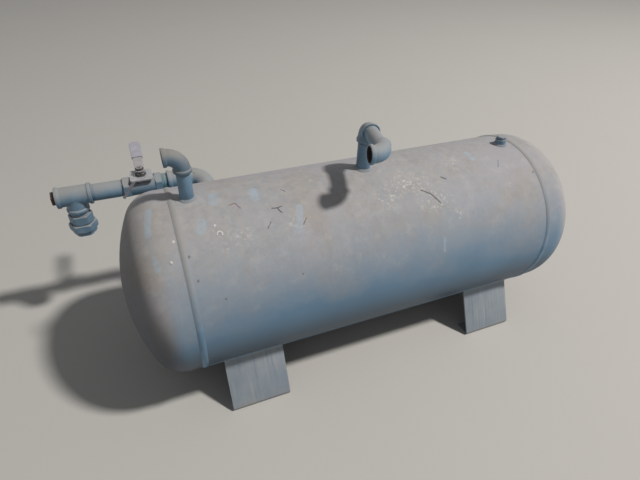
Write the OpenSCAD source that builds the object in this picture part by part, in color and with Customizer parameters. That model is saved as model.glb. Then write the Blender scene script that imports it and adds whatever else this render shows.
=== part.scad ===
// Horizontal pressure tank: a welded receiver on four plate feet, with screwed pipe fittings
// and a ball valve. Millimetres, X along the tank, +Y to the back, +Z up, origin on the floor
// below the middle of the shell.

/* [Vessel] */
// Outer diameter of the shell and heads
tank_d = 610; // [560:5:660]
// Length of the shell between its two girth seams
shell_len = 1285; // [1150:5:1500]
// Plate thickness of the shell and heads
wall = 6; // [4:0.5:9]
// Clear height between the floor and the underside of the shell
ground_gap = 61; // [45:1:115]
// Straight skirt of a head, from the girth seam to where it starts to curve
skirt_len = 45; // [35:1:90]
// Crown radius of a head for each millimetre of tank diameter
crown_ratio = 0.904; // [0.88:0.004:0.96]
// Knuckle radius of a head for each millimetre of tank diameter
knuckle_ratio = 0.173; // [0.14:0.001:0.19]

/* [Welds] */
// Gap between two plates that a butt weld fills
root_gap = 2; // [1:0.5:4]
// Width of a butt weld's raised cap
cap_w = 20; // [12:1:26]
// Height of a butt weld's raised cap
cap_h = 3.5; // [2:0.5:5]
// Leg of the fillet weld round a pipe or coupling
fillet_leg = 7; // [4:0.5:10]
// Leg of the fillet weld along the top of a foot
foot_fillet = 6; // [4:0.5:9]
// Angle of the long seam below the tank's front, seen from its left end
seam_angle = 34; // [20:1:50]

/* [Feet] */
// Width of a foot along the tank
foot_w = 203; // [120:1:260]
// Plate thickness of a foot
foot_t = 6; // [4:0.5:10]
// Distance from a girth seam to the foot's outer edge
foot_inset = 60; // [30:1:120]
// Distance that a foot stands out at the floor beyond the side of the tank
foot_out = 19; // [0:1:45]
// Lean of a foot from the vertical, towards the tank
foot_lean = 27; // [20:0.5:32]
// Width of the flange turned inwards on the floor
foot_flange = 66; // [50:1:90]
// Inner radius of the bend above the flange
foot_bend_r = 4; // [2:0.5:8]
// Diameter of the anchor hole in the flange
anchor_d = 14; // [10:1:20]
// Distance from a foot's outer corner to its anchor hole
anchor_in = 42; // [34:1:50]

/* [Small fittings] */
// Outer diameter of the small pipe
small_pipe_d = 42.4; // [38:0.1:48.3]
// Wall of the small pipe
small_pipe_wall = 3.6; // [2.5:0.1:4.5]
// Centre of a small elbow to its mouth
small_elbow_a = 51; // [44:0.5:54]
// Outer diameter of the band round a small fitting's mouth
small_band_d = 56; // [54:0.5:64]
// Width of the band round a small fitting's mouth
small_band_w = 10; // [6:0.5:12]
// Depth that small pipe screws into a fitting
small_engage = 17; // [12:0.5:20]

/* [Middle fittings] */
// Outer diameter of the middle pipe
middle_pipe_d = 48.3; // [44:0.1:52]
// Wall of the middle pipe
middle_pipe_wall = 3.7; // [2.5:0.1:4.5]
// Centre of a middle elbow to its mouth
middle_elbow_a = 50; // [48:0.5:58]
// Outer diameter of the band round a middle fitting's mouth
middle_band_d = 61; // [60:0.5:68]
// Width of the band round a middle fitting's mouth
middle_band_w = 11; // [6:0.5:12]
// Depth that middle pipe screws into a fitting
middle_engage = 18; // [12:0.5:20]

/* [Large fittings] */
// Outer diameter of the large pipe
large_pipe_d = 60.3; // [57:0.1:63]
// Wall of the large pipe
large_pipe_wall = 3.9; // [3:0.1:5]
// Centre of a large elbow or tee to its mouth
large_elbow_a = 57; // [54:0.5:64]
// Outer diameter of the band round a large fitting's mouth
large_band_d = 75; // [72:0.5:80]
// Width of the band round a large fitting's mouth
large_band_w = 11; // [8:0.5:14]
// Depth that large pipe screws into a fitting
large_engage = 19; // [14:0.5:22]
// Length of the straight coupling beside the back elbow
coupling_len = 65; // [56:1:80]

/* [Top nozzles] */
// Distance from the left girth seam to the left nozzle's axis
left_inset = 48; // [45:1:80]
// Distance from the right girth seam to the right nozzle's axis
right_inset = 54; // [45:1:90]
// Height of the left elbow's centre above the top of the shell
left_rise = 142; // [110:1:180]
// Height of the middle elbow's centre above the top of the shell
middle_rise = 150; // [110:1:180]
// Swing of the middle elbow from straight forward, towards the left
middle_swing = 10.5; // [0:0.5:20]
// Distance between the centres of the middle elbow and the outlet elbow
cross_len = 195; // [130:1:220]
// Outer diameter of the right half coupling
right_coupling_d = 40; // [36:0.5:46]
// Height of the right half coupling above the shell
right_coupling_h = 22; // [18:1:40]
// Diameter of the right half coupling's threaded hole
right_bore_d = 27; // [24:0.5:28]
// Width across the flats of the right plug's head
plug_af = 31; // [29:1:36]
// Height of the right plug's head
plug_head_h = 9; // [6:1:16]
// Thread of the right plug that shows below its head
plug_gap = 2; // [1:0.5:4]

/* [Back nozzle] */
// Distance from the left girth seam to the back nozzle's axis
back_inset = 146; // [110:1:200]
// Angle of the back nozzle from the top, towards the back
back_angle = 60; // [50:1:70]
// Distance from the shell to the valve run's axis
run_rise = 78; // [75:1:105]

/* [Valve] */
// Distance from the left girth seam to the valve's stem
stem_out = 71; // [66:1:100]
// Length of the valve over its two hexagon ends
valve_len = 132; // [124:1:140]
// Length of a hexagon end
valve_hex_len = 23; // [20:1:27]
// Width across the flats of a hexagon end
valve_hex_af = 69; // [68:0.5:76]
// Outer diameter of the valve's barrel
valve_d = 67; // [66:0.5:72]
// Diameter of the ball
ball_d = 50; // [48:0.5:52]
// Diameter of the port through the ball
port_d = 34; // [28:0.5:35]
// Diameter of the stem
stem_d = 14; // [12:0.5:15]
// Outer diameter of the neck round the stem
neck_d = 24; // [22:0.5:26]
// Width of the stop plate along the run
plate_w = 76; // [60:1:90]
// Depth of the stop plate across the run
plate_depth = 80; // [80:1:92]
// Thickness of the stop plate
plate_t = 5; // [3:0.5:8]
// Height of the stop plate's underside above the run's axis
plate_z = 35; // [34.5:0.5:38]
// Width across the flats of the gland nut
gland_af = 32; // [30:0.5:36]
// Height of the gland nut
gland_h = 12; // [10:0.5:14]
// Width of the arm bent down from the plate
arm_w = 9; // [7:0.5:14]
// Length of the arm
arm_len = 74; // [50:1:80]
// Lean of the arm from the vertical, to the left
arm_lean = 38; // [20:1:42]

/* [Lever] */
// Length of the lever from the stem to its tip
lever_len = 186; // [150:1:220]
// Width of the lever at its hub
lever_w = 31; // [26:1:38]
// Width of the lever at its tip
lever_tip_w = 36; // [30:1:42]
// Plate thickness of the lever
lever_t = 5; // [4:0.5:8]
// Clear height between the gland nut and the lever
lever_gap = 5; // [5:0.5:8]
// Rise of the lever's grip above its hub
lever_rise = 10; // [4:0.5:20]
// Further rise of the grip to its tip
grip_rise = 10; // [0:0.5:16]
// Distance from the stem to where the grip starts
grip_start = 74; // [60:1:100]
// Thickness of the grip round the lever
grip_t = 2.4; // [1.5:0.1:4]
// Width across the flats of the nut on the lever
lever_nut_af = 24; // [20:0.5:28]

/* [Tee and union] */
// Length of run pipe that shows between the valve and the tee
run_gap = 105; // [80:1:140]
// Length of pipe that shows between the tee and the union
branch_gap = 14; // [8:1:30]
// Width across the flats of the union's two end pieces
union_end_af = 72; // [70:0.5:76]
// Width across the flats of the union nut
union_nut_af = 84; // [82:0.5:92]
// Height of the union's upper end piece above the nut
union_top_h = 35; // [30:1:44]
// Height of the union nut
union_nut_h = 28; // [26:1:44]
// Height of the union's lower end piece below the nut
union_bottom_h = 17; // [14:1:28]
// Width across the flats of the tee plug's hexagon head
tee_plug_af = 46; // [40:1:52]
// Length of the tee plug's head
tee_plug_h = 13; // [8:1:20]

/* [Drain] */
// Outer diameter of the drain half coupling
drain_d = 41; // [34:0.5:46]
// Height of the drain half coupling below the shell
drain_h = 18; // [12:1:24]
// Diameter of the drain's threaded hole
drain_bore_d = 26; // [20:0.5:28]

/* [Hidden] */
$fn = 96;

tank_r = tank_d / 2;
axis_h = tank_r + ground_gap;
foot_spread = tank_d + 2 * foot_out;
run_r = tank_r + run_rise;
crown_r = crown_ratio * tank_d;
knuckle_r = knuckle_ratio * tank_d;
// Distance from the start of the curve back to the crown's centre
crown_back = sqrt(pow(crown_r - knuckle_r, 2) - pow(tank_r - knuckle_r, 2));
// Angle from the tank's axis at which the crown meets the knuckle
crown_angle = asin((tank_r - knuckle_r) / (crown_r - knuckle_r));

// Clearance of a piece set into another
fit = 0.15;
// Radial clearance of the stem and ball, which turn
run_fit = 0.05;
// Length by which a cut passes the face it opens
past = 1;
// Depth of a fitting's body below the bands round its mouths
band_step = 3.4;
// Gap that a fitting's bore leaves round the bore of its pipe
bore_gap = 1;

left_x = -shell_len / 2 + left_inset;
right_x = shell_len / 2 - right_inset;
back_x = -shell_len / 2 + back_inset;
stem_x = -shell_len / 2 - stem_out;
run_y = run_r * sin(back_angle);
run_z = axis_h + run_r * cos(back_angle);
// Length of pipe that shows beside the back elbow
back_gap = 8;
foot_x = shell_len / 2 - foot_inset - foot_w / 2;
tee_x = stem_x - valve_len / 2 - run_gap - large_elbow_a;
union_top_z = run_z - large_elbow_a - branch_gap;

// Sizes of each fitting: pipe diameter, pipe wall, centre to mouth, band diameter, band width, engagement
SMALL = [small_pipe_d, small_pipe_wall, small_elbow_a, small_band_d, small_band_w, small_engage];
MIDDLE = [middle_pipe_d, middle_pipe_wall, middle_elbow_a, middle_band_d, middle_band_w, middle_engage];
LARGE = [large_pipe_d, large_pipe_wall, large_elbow_a, large_band_d, large_band_w, large_engage];
function pipe_r(s) = s[0] / 2;
function bore_r(s) = s[0] / 2 - s[1];
function mouth_a(s) = s[2];
function band_r(s) = s[3] / 2;
function band_w(s) = s[4];
function engage(s) = s[5];
function body_r(s) = band_r(s) - band_step;

paint = "slategray";
weld_paint = "lightslategray";
steel = "darkgray";
rust = "sienna";

module tube(r_out, r_in, len) {
    difference() {
        cylinder(r = r_out, h = len);
        translate([0, 0, -past])
            cylinder(r = r_in, h = len + 2 * past);
    }
}

module hex_bar(af, len) {
    cylinder(r = af / 2 / cos(30), h = len, $fn = 6);
}

// A hexagon with its corners turned down to a cone at both faces
module hex_nut(af, len, chamfer) {
    intersection() {
        hex_bar(af, len);
        union() {
            cylinder(r1 = af / 2 + chamfer / 4, r2 = af / 2 + chamfer * 2, h = chamfer);
            translate([0, 0, chamfer])
                cylinder(r = af / 2 + chamfer * 2, h = len - 2 * chamfer);
            translate([0, 0, len - chamfer])
                cylinder(r1 = af / 2 + chamfer * 2, r2 = af / 2 + chamfer / 4, h = chamfer);
        }
    }
}

// A pipe along +Z from 0, with its outer corners broken
module pipe(s, len) {
    bevel = 1.2;
    difference() {
        union() {
            cylinder(r1 = pipe_r(s) - bevel, r2 = pipe_r(s), h = bevel);
            translate([0, 0, bevel])
                cylinder(r = pipe_r(s), h = len - 2 * bevel);
            translate([0, 0, len - bevel])
                cylinder(r1 = pipe_r(s), r2 = pipe_r(s) - bevel, h = bevel);
        }
        translate([0, 0, -past])
            cylinder(r = bore_r(s), h = len + 2 * past);
    }
}

// The band round a mouth that faces -Z, with its face at -mouth_a
module band(s) {
    translate([0, 0, -mouth_a(s)])
        cylinder(r = band_r(s), h = band_w(s));
}

// The threaded socket of a mouth that faces -Z
module socket(s) {
    translate([0, 0, -mouth_a(s) - past])
        cylinder(r = pipe_r(s) + fit, h = engage(s) + past);
}

// A screwed elbow round the origin: one mouth faces -Z and the other faces +X
module elbow(s) {
    bend = mouth_a(s) - band_w(s) + past;
    module arc(r) {
        translate([bend, 0, -bend])
            rotate([-90, 0, 0])
                rotate([0, 0, 180])
                    rotate_extrude(angle = 90)
                        translate([bend, 0])
                            circle(r = r);
    }
    module each_mouth() {
        children();
        rotate([0, -90, 0])
            children();
    }
    difference() {
        union() {
            arc(body_r(s));
            each_mouth()
                band(s);
        }
        arc(bore_r(s) + bore_gap);
        each_mouth()
            socket(s);
    }
}

// A screwed tee round the origin: its run is along X and its branch faces -Z
module tee_body(s) {
    // The branch is slimmer than the run, so their walls don't run along each other
    tee_step = 0.6;
    module each_mouth() {
        for (turn = [-90, 90])
            rotate([0, turn, 0])
                children();
        children();
    }
    difference() {
        union() {
            translate([-mouth_a(s) + past, 0, 0])
                rotate([0, 90, 0])
                    cylinder(r = body_r(s), h = 2 * (mouth_a(s) - past));
            translate([0, 0, -mouth_a(s) + past])
                cylinder(r = body_r(s) - tee_step, h = mouth_a(s) - past);
            each_mouth()
                band(s);
        }
        translate([-mouth_a(s), 0, 0])
            rotate([0, 90, 0])
                cylinder(r = bore_r(s) + bore_gap, h = 2 * mouth_a(s));
        translate([0, 0, -mouth_a(s)])
            cylinder(r = bore_r(s), h = mouth_a(s));
        each_mouth()
            socket(s);
    }
}

module on_axis() {
    translate([0, 0, axis_h])
        children();
}

// Places a piece on the shell's top at x, standing along its radius at an angle to the back
module on_radius(x, angle) {
    translate([x, 0, axis_h])
        rotate([-angle, 0, 0])
            children();
}

// The full form of a dished end along +Z from its girth seam, its skin set in by inset
module dome(inset) {
    ring_r = tank_r - knuckle_r;
    curve_r = knuckle_r - inset;
    // Height above the skirt at which the knuckle runs into the crown
    meet_z = curve_r * cos(crown_angle);
    start = root_gap - (inset > 0 ? past : 0);
    translate([0, 0, start])
        cylinder(r = tank_r - inset, h = skirt_len - start);
    translate([0, 0, skirt_len]) {
        difference() {
            rotate_extrude()
                translate([ring_r, 0])
                    circle(r = curve_r);
            translate([0, 0, -tank_r])
                cylinder(r = tank_d, h = tank_r);
        }
        cylinder(r = ring_r, h = meet_z);
        intersection() {
            translate([0, 0, -crown_back])
                sphere(r = crown_r - inset);
            translate([0, 0, meet_z])
                cylinder(r = tank_r, h = crown_r);
        }
    }
}

// A dished end: a skirt, a knuckle and a crown that run smoothly on
module dished_end() {
    $fn = 240;
    difference() {
        dome(0);
        dome(wall);
    }
}

// A head on the side given by the sign
module head(side) {
    color(paint)
        translate([side * shell_len / 2, 0, axis_h])
            rotate([0, side * 90, 0])
                dished_end();
}

// The crowned cap and root of a butt weld, across the seam along X and out along Y
module butt_weld() {
    steps = 6;
    polygon(concat([for (i = [0 : steps])
                        let (t = -1 + 2 * i / steps)
                            [t * cap_w / 2, cap_h * (1 - t * t)]],
                   [[root_gap / 2, 0], [root_gap / 2, -wall], [-root_gap / 2, -wall],
                    [-root_gap / 2, 0]]));
}

module girth_weld(side) {
    color(weld_paint)
        translate([side * (shell_len + root_gap) / 2, 0, axis_h])
            rotate([0, 90, 0])
                rotate_extrude($fn = 240)
                    translate([tank_r, 0])
                        rotate([0, 0, -90])
                            butt_weld();
}

// The fillet weld round a pipe of radius r that stands on the shell
module nozzle_weld(x, angle, r) {
    difference() {
        on_radius(x, angle)
            rotate_extrude()
                polygon([[r + fit, tank_r - wall / 2], [r + fillet_leg, tank_r - wall / 2],
                         [r + fillet_leg, tank_r - 0.5], [r + fillet_leg * 0.55, tank_r + fillet_leg * 0.3],
                         [r + fit, tank_r + fillet_leg]]);
        translate([x, 0, axis_h])
            rotate([0, 90, 0])
                cylinder(r = tank_r, h = 4 * (r + fillet_leg), center = true, $fn = 720);
    }
}

module shell() {
    color(paint)
        difference() {
            translate([-shell_len / 2, 0, axis_h])
                rotate([0, 90, 0])
                    tube(tank_r, tank_r - wall, shell_len, $fn = 240);
            on_radius(left_x, 0)
                cylinder(r = small_pipe_d / 2 + fit, h = tank_d);
            on_radius(0, 0)
                cylinder(r = middle_pipe_d / 2 + fit, h = tank_d);
            on_radius(right_x, 0)
                cylinder(r = right_coupling_d / 2 + fit, h = tank_d);
            on_radius(back_x, back_angle)
                cylinder(r = large_pipe_d / 2 + fit, h = tank_d);
            on_radius(0, 180)
                cylinder(r = drain_d / 2 + fit, h = tank_d);
        }
}

module left_head() {
    head(-1);
}

module right_head() {
    head(1);
}

module left_girth_weld() {
    girth_weld(-1);
}

module right_girth_weld() {
    girth_weld(1);
}

// The cap of the long seam, low on the front, between the girth welds
module seam_weld() {
    len = shell_len - cap_w - 2;
    half = cap_w / 3;
    color(weld_paint)
        on_radius(-len / 2, -90 - seam_angle)
            rotate([90, 0, 90])
                linear_extrude(height = len)
                    translate([0, tank_r + run_fit])
                        polygon([[-half, 0], [-half * 0.7, cap_h * 0.4], [0, cap_h * 0.6],
                                 [half * 0.7, cap_h * 0.4], [half, 0]]);
}

module nozzle_welds() {
    color(weld_paint) {
        nozzle_weld(left_x, 0, small_pipe_d / 2);
        nozzle_weld(0, 0, middle_pipe_d / 2);
        nozzle_weld(right_x, 0, right_coupling_d / 2);
        nozzle_weld(back_x, back_angle, large_pipe_d / 2);
        nozzle_weld(0, 180, drain_d / 2);
    }
}

// Points along an arc about c from angle a0 to a1
function arc(c, r, a0, a1, steps) =
    [for (i = [0 : steps]) let (a = a0 + (a1 - a0) * i / steps) c + r * [cos(a), sin(a)]];

// The section of a foot from its outer corner: X towards the tank, Y up
module foot_section() {
    bend_out = foot_bend_r + foot_t;
    bend = [bend_out * (1 + sin(foot_lean)) / cos(foot_lean), bend_out];
    up = [sin(foot_lean), cos(foot_lean)];
    in = [cos(foot_lean), -sin(foot_lean)];
    centre = [foot_spread / 2, axis_h];
    // Where the plate's outer face meets the shell
    meet_len = centre * up - sqrt(pow(centre * up, 2) - centre * centre + tank_r * tank_r);
    meet = meet_len * up;
    out = (meet - centre) / tank_r;
    along = [out[1], -out[0]];
    top = (meet_len + 2 * foot_t) * up;
    polygon(concat([[foot_flange, 0]], arc(bend, bend_out, 270, 180 - foot_lean, 8),
                   [top, top + foot_t * in], arc(bend, foot_bend_r, 180 - foot_lean, 270, 8),
                   [[foot_flange, foot_t]]));
    polygon([meet - foot_fillet * up, meet + foot_fillet * along, meet + foot_t * up,
             meet - foot_fillet * up + in]);
}

// A foot at the end and side given by the signs
module foot(end, side) {
    color(paint)
        difference() {
            translate([end * foot_x, 0, 0])
                scale([1, side, 1])
                    translate([-foot_w / 2, foot_spread / 2, 0])
                        rotate([90, 0, 90])
                            linear_extrude(height = foot_w)
                                mirror([1, 0])
                                    foot_section();
            on_axis()
                rotate([0, 90, 0])
                    cylinder(r = tank_r, h = shell_len, center = true, $fn = 240);
            translate([end * foot_x, side * (foot_spread / 2 - anchor_in), -past])
                cylinder(d = anchor_d, h = foot_t + 2 * past);
        }
}

module front_left_foot() {
    foot(-1, -1);
}

module back_left_foot() {
    foot(-1, 1);
}

module front_right_foot() {
    foot(1, -1);
}

module back_right_foot() {
    foot(1, 1);
}

// A riser from inside the shell up into the elbow whose centre lies rise above the shell
module riser(x, angle, s, rise) {
    color(paint)
        on_radius(x, angle)
            translate([0, 0, tank_r - wall])
                pipe(s, wall + rise - mouth_a(s) + engage(s) - fit);
}

module left_riser() {
    riser(left_x, 0, SMALL, left_rise);
}

module middle_riser() {
    riser(0, 0, MIDDLE, middle_rise);
}

module back_riser() {
    riser(back_x, back_angle, LARGE, run_rise);
}

module left_elbow() {
    color(paint)
        translate([left_x, 0, axis_h + tank_r + left_rise])
            rotate([0, 0, 180])
                elbow(SMALL);
}

// Places the middle elbow's group: its outlet is along +X of this frame
module middle_top() {
    translate([0, 0, axis_h + tank_r + middle_rise])
        rotate([0, 0, -90 - middle_swing])
            children();
}

module middle_elbow() {
    color(paint)
        middle_top()
            elbow(MIDDLE);
}

module cross_nipple() {
    inner = middle_elbow_a - middle_engage + fit;
    color(paint)
        middle_top()
            translate([inner, 0, 0])
                rotate([0, 90, 0])
                    pipe(MIDDLE, cross_len - 2 * inner);
}

// The outlet elbow lies level, with its mouth to the left
module outlet_elbow() {
    color(paint)
        middle_top()
            translate([cross_len, 0, 0])
                rotate([-90, 0, 0])
                    rotate([0, 90, 0])
                        elbow(MIDDLE);
}

module right_coupling() {
    color(paint)
        on_radius(right_x, 0)
            translate([0, 0, tank_r - wall])
                tube(right_coupling_d / 2, right_bore_d / 2 + fit, right_coupling_h + wall);
}

module right_plug() {
    shank = 16;
    top = tank_r + right_coupling_h;
    color(paint)
        on_radius(right_x, 0) {
            translate([0, 0, top - shank])
                cylinder(d = right_bore_d, h = shank + plug_gap);
            translate([0, 0, top + plug_gap])
                hex_nut(plug_af, plug_head_h, 1.5);
        }
}

module back_elbow() {
    color(paint)
        on_radius(back_x, back_angle)
            translate([0, 0, run_r])
                rotate([0, 0, 180])
                    elbow(LARGE);
}

// Places a piece on the valve run's axis at x, with Z up
module on_run(x) {
    translate([x, run_y, run_z])
        children();
}

// A run pipe between the mouths at two places along X
module run_pipe(from_x, to_x) {
    color(paint)
        on_run(from_x - large_engage + fit)
            rotate([0, 90, 0])
                pipe(LARGE, to_x - from_x + 2 * (large_engage - fit));
}

back_mouth_x = back_x - large_elbow_a;
coupling_right_x = back_mouth_x - back_gap;
coupling_left_x = coupling_right_x - coupling_len;

module back_nipple() {
    run_pipe(coupling_right_x, back_mouth_x);
}

module inlet_coupling() {
    color(paint)
        on_run(coupling_left_x)
            rotate([0, 90, 0])
                difference() {
                    union() {
                        cylinder(r = body_r(LARGE), h = coupling_len);
                        cylinder(r = band_r(LARGE), h = large_band_w);
                        translate([0, 0, coupling_len - large_band_w])
                            cylinder(r = band_r(LARGE), h = large_band_w);
                    }
                    translate([0, 0, -past])
                        cylinder(r = large_pipe_d / 2 + fit, h = coupling_len + 2 * past);
                }
}

module inlet_nipple() {
    run_pipe(stem_x + valve_len / 2, coupling_left_x);
}

module run_nipple() {
    run_pipe(tee_x + large_elbow_a, stem_x - valve_len / 2);
}

// Wall between the ball and the valve's chamber, which the seats fill
seat_t = 3;
chamber_r = ball_d / 2 + seat_t;
seat_len = 6;
seat_x = ball_d / 2 - seat_t;
// Width by which the foot of the neck is larger than the neck
neck_foot = 10;
// Part of the gland nut that is solid above the neck
gland_cap = 4;
hex_chamfer = 2;

// The valve's body: barrel, right hexagon end and neck
module valve_body() {
    barrel = valve_len / 2 - valve_hex_len;
    color(paint)
        on_run(stem_x)
            difference() {
                union() {
                    translate([-barrel, 0, 0])
                        rotate([0, 90, 0])
                            cylinder(d = valve_d, h = 2 * barrel + past);
                    translate([barrel, 0, 0])
                        rotate([0, 90, 0])
                            hex_nut(valve_hex_af, valve_hex_len, hex_chamfer);
                    cylinder(d = neck_d, h = plate_z + plate_t + gland_h - gland_cap);
                    cylinder(d = neck_d + neck_foot, h = plate_z);
                }
                translate([-barrel - past, 0, 0])
                    rotate([0, 90, 0])
                        cylinder(r = chamber_r, h = barrel + past + seat_x + seat_len);
                rotate([0, 90, 0])
                    cylinder(d = port_d, h = valve_len);
                translate([valve_len / 2 - large_engage, 0, 0])
                    rotate([0, 90, 0])
                        cylinder(r = large_pipe_d / 2 + fit, h = large_engage + past);
                cylinder(r = stem_d / 2 + run_fit, h = 2 * plate_z);
            }
}

// The left hexagon end, whose shank screws into the barrel
module valve_tail() {
    shank = valve_len / 2 - valve_hex_len - seat_x - seat_len;
    color(paint)
        on_run(stem_x - valve_len / 2)
            rotate([0, 90, 0])
                difference() {
                    union() {
                        hex_nut(valve_hex_af, valve_hex_len, hex_chamfer);
                        cylinder(r = chamber_r - fit, h = valve_hex_len + shank);
                    }
                    translate([0, 0, -past])
                        cylinder(d = port_d, h = valve_len);
                    translate([0, 0, -past])
                        cylinder(r = large_pipe_d / 2 + fit, h = large_engage + past);
                }
}

// The two rings that the ball turns between
module ball_seats() {
    color("white")
        on_run(stem_x)
            for (side = [-1, 1])
                difference() {
                    rotate([0, side * 90, 0])
                        translate([0, 0, seat_x])
                            difference() {
                                cylinder(r = chamber_r - fit, h = seat_len);
                                translate([0, 0, -past])
                                    cylinder(d = port_d + 1, h = seat_len + 2 * past);
                            }
                    sphere(r = ball_d / 2 + run_fit);
                }
}

slot_w = 7;
slot_depth = 5;

// The ball, shut at rest, with its port across the run
module ball() {
    color("gainsboro")
        on_run(stem_x)
            difference() {
                sphere(d = ball_d);
                rotate([90, 0, 0])
                    cylinder(d = port_d, h = ball_d + 2 * past, center = true);
                translate([-slot_w / 2 - fit, -ball_d, ball_d / 2 - slot_depth])
                    cube([slot_w + 2 * fit, 2 * ball_d, 2 * slot_depth]);
            }
}

lever_z = plate_z + plate_t + gland_h + lever_gap;
// The stem's thread above the lever
stem_thread_d = stem_d - 4;
stem_thread_h = 12;
lever_nut_h = 9;

module stem() {
    tang = 2 * (stem_d / 2 - 1);
    color(steel)
        on_run(stem_x) {
            translate([-slot_w / 2, -tang / 2, ball_d / 2 - slot_depth + fit])
                cube([slot_w, tang, slot_depth + 2]);
            translate([0, 0, ball_d / 2 + past])
                cylinder(d = stem_d, h = lever_z + lever_t - fit - ball_d / 2 - past);
            translate([0, 0, lever_z + lever_t - past])
                cylinder(d = stem_thread_d, h = stem_thread_h);
        }
}

module gland_nut() {
    color(steel)
        on_run(stem_x)
            difference() {
                translate([0, 0, plate_z + plate_t])
                    hex_nut(gland_af, gland_h, 1.5);
                translate([0, 0, plate_z])
                    cylinder(d = neck_d + 2 * fit, h = plate_t + gland_h - gland_cap + fit);
                translate([0, 0, plate_z])
                    cylinder(r = stem_d / 2 + run_fit, h = 2 * plate_z);
            }
}

// Corner points of a rectangle about the origin, each rounded by an arc
function rounded(w, d, r) =
    [for (q = [0 : 3])
         for (a = [0 : 15 : 90])
             let (sx = q == 0 || q == 3 ? 1 : -1, sy = q < 2 ? 1 : -1)
                 [sx * (w / 2 - r) + r * cos(90 * q + a), sy * (d / 2 - r) + r * sin(90 * q + a)]];

module stop_plate() {
    corner_r = 10;
    // Distance from the plate's left edge to the arm's root
    arm_in = 2;
    color("lightgray")
        on_run(stem_x)
            difference() {
                union() {
                    translate([0, 0, plate_z])
                        linear_extrude(height = plate_t)
                            polygon(rounded(plate_w, plate_depth, corner_r));
                    // The arm bent down in front of the left end
                    translate([-plate_w / 2 + corner_r + arm_in, -plate_depth / 2, plate_z + plate_t / 3])
                        rotate([0, arm_lean, 0])
                            translate([-arm_w / 2, 0, -arm_len])
                                cube([arm_w, plate_t, arm_len]);
                }
                cylinder(d = neck_d + 2 * fit, h = 2 * plate_z);
            }
}

// The run of the lever behind its hub, and of the slope up to its straight grip
lever_hub = lever_w / 2 + 6;
lever_ramp = 20;
lever_tail = 2;
// Height of the grip's underside above the hub's at a distance from the stem
function grip_z(y) = lever_rise + grip_rise * (y - lever_hub - lever_ramp) / (lever_len - lever_hub - lever_ramp);

// The lever in side view, with Y along it and Z up from the hub's underside
module lever_side() {
    far = lever_len + past;
    back = -lever_w / 2 - lever_tail - past;
    polygon([[back, 0], [lever_hub, 0], [lever_hub + lever_ramp, lever_rise], [far, grip_z(far)],
             [far, grip_z(far) + lever_t], [lever_hub + lever_ramp, lever_rise + lever_t], [lever_hub, lever_t],
             [back, lever_t]]);
}

// The lever's outline from above, grown by an amount
module lever_plan(grow) {
    hub_r = lever_w / 2 + grow;
    tip = lever_tip_w / 2 + grow;
    tip_r = tip * 0.85;
    end = lever_len + grow;
    polygon(concat(arc([tip - tip_r, end - tip_r], tip_r, 0, 90, 8), arc([tip_r - tip, end - tip_r], tip_r, 90, 180, 8),
                   arc([0, -lever_tail], hub_r, 180, 360, 16)));
}

// The solid whose side view is the first child and whose outline from above is the second
module side_and_plan() {
    intersection() {
        translate([-lever_len / 2, 0, 0])
            rotate([90, 0, 90])
                linear_extrude(height = lever_len)
                    children(0);
        translate([0, 0, -lever_len / 2])
            linear_extrude(height = lever_len)
                children(1);
    }
}

// The straight part of the lever from y on, grown by an amount
module grip_form(y, grow) {
    far = lever_len + grow + past;
    side_and_plan() {
        polygon([[y, grip_z(y) - grow], [far, grip_z(far) - grow], [far, grip_z(far) + lever_t + grow],
                 [y, grip_z(y) + lever_t + grow]]);
        lever_plan(grow);
    }
}

module on_lever() {
    on_run(stem_x)
        translate([0, 0, lever_z])
            children();
}

module lever() {
    color("lightsteelblue")
        on_lever()
            difference() {
                side_and_plan() {
                    lever_side();
                    lever_plan(0);
                }
                translate([0, 0, -past])
                    cylinder(d = stem_d + 2 * fit, h = lever_t + 2 * past);
            }
}

// The soft sleeve over the lever's far part
module lever_grip() {
    color("lavender")
        on_lever()
            difference() {
                grip_form(grip_start, grip_t);
                grip_form(grip_start - past, fit);
            }
}

module lever_nut() {
    color(steel)
        on_run(stem_x)
            translate([0, 0, lever_z + lever_t])
                difference() {
                    hex_nut(lever_nut_af, lever_nut_h, 1.5);
                    translate([0, 0, -past])
                        cylinder(d = stem_thread_d + 2 * fit, h = lever_nut_h + 2 * past);
                }
}

module tee() {
    color(paint)
        on_run(tee_x)
            tee_body(LARGE);
}

module tee_plug() {
    shank = large_engage - fit;
    color(rust)
        on_run(tee_x - large_elbow_a + shank)
            rotate([0, -90, 0]) {
                cylinder(d = large_pipe_d, h = shank);
                translate([0, 0, shank])
                    hex_bar(tee_plug_af, tee_plug_h);
            }
}

// Places a piece on the branch's axis with its top at height z
module on_branch(z) {
    translate([tee_x, run_y, z])
        children();
}

module branch_nipple() {
    len = branch_gap + 2 * (large_engage - fit);
    color(paint)
        on_branch(union_top_z - large_engage + fit)
            pipe(LARGE, len);
}

union_nut_top = union_top_z - union_top_h;
union_nut_low = union_nut_top - union_nut_h;
// Wall of the union's collar round its pipe
collar_t = 5.5;
collar_r = large_pipe_d / 2 + collar_t;
// Thickness of the nut's lip, which lifts the lower end piece by its collar
union_lip = 5;
// How far the lip reaches in under the collar
lip_depth = 3;
// Height above the nut's foot where the two end pieces meet
union_face_z = union_nut_low + 14;
// Gap between the nut and the hexagons above and below it
nut_gap = 2;

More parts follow.
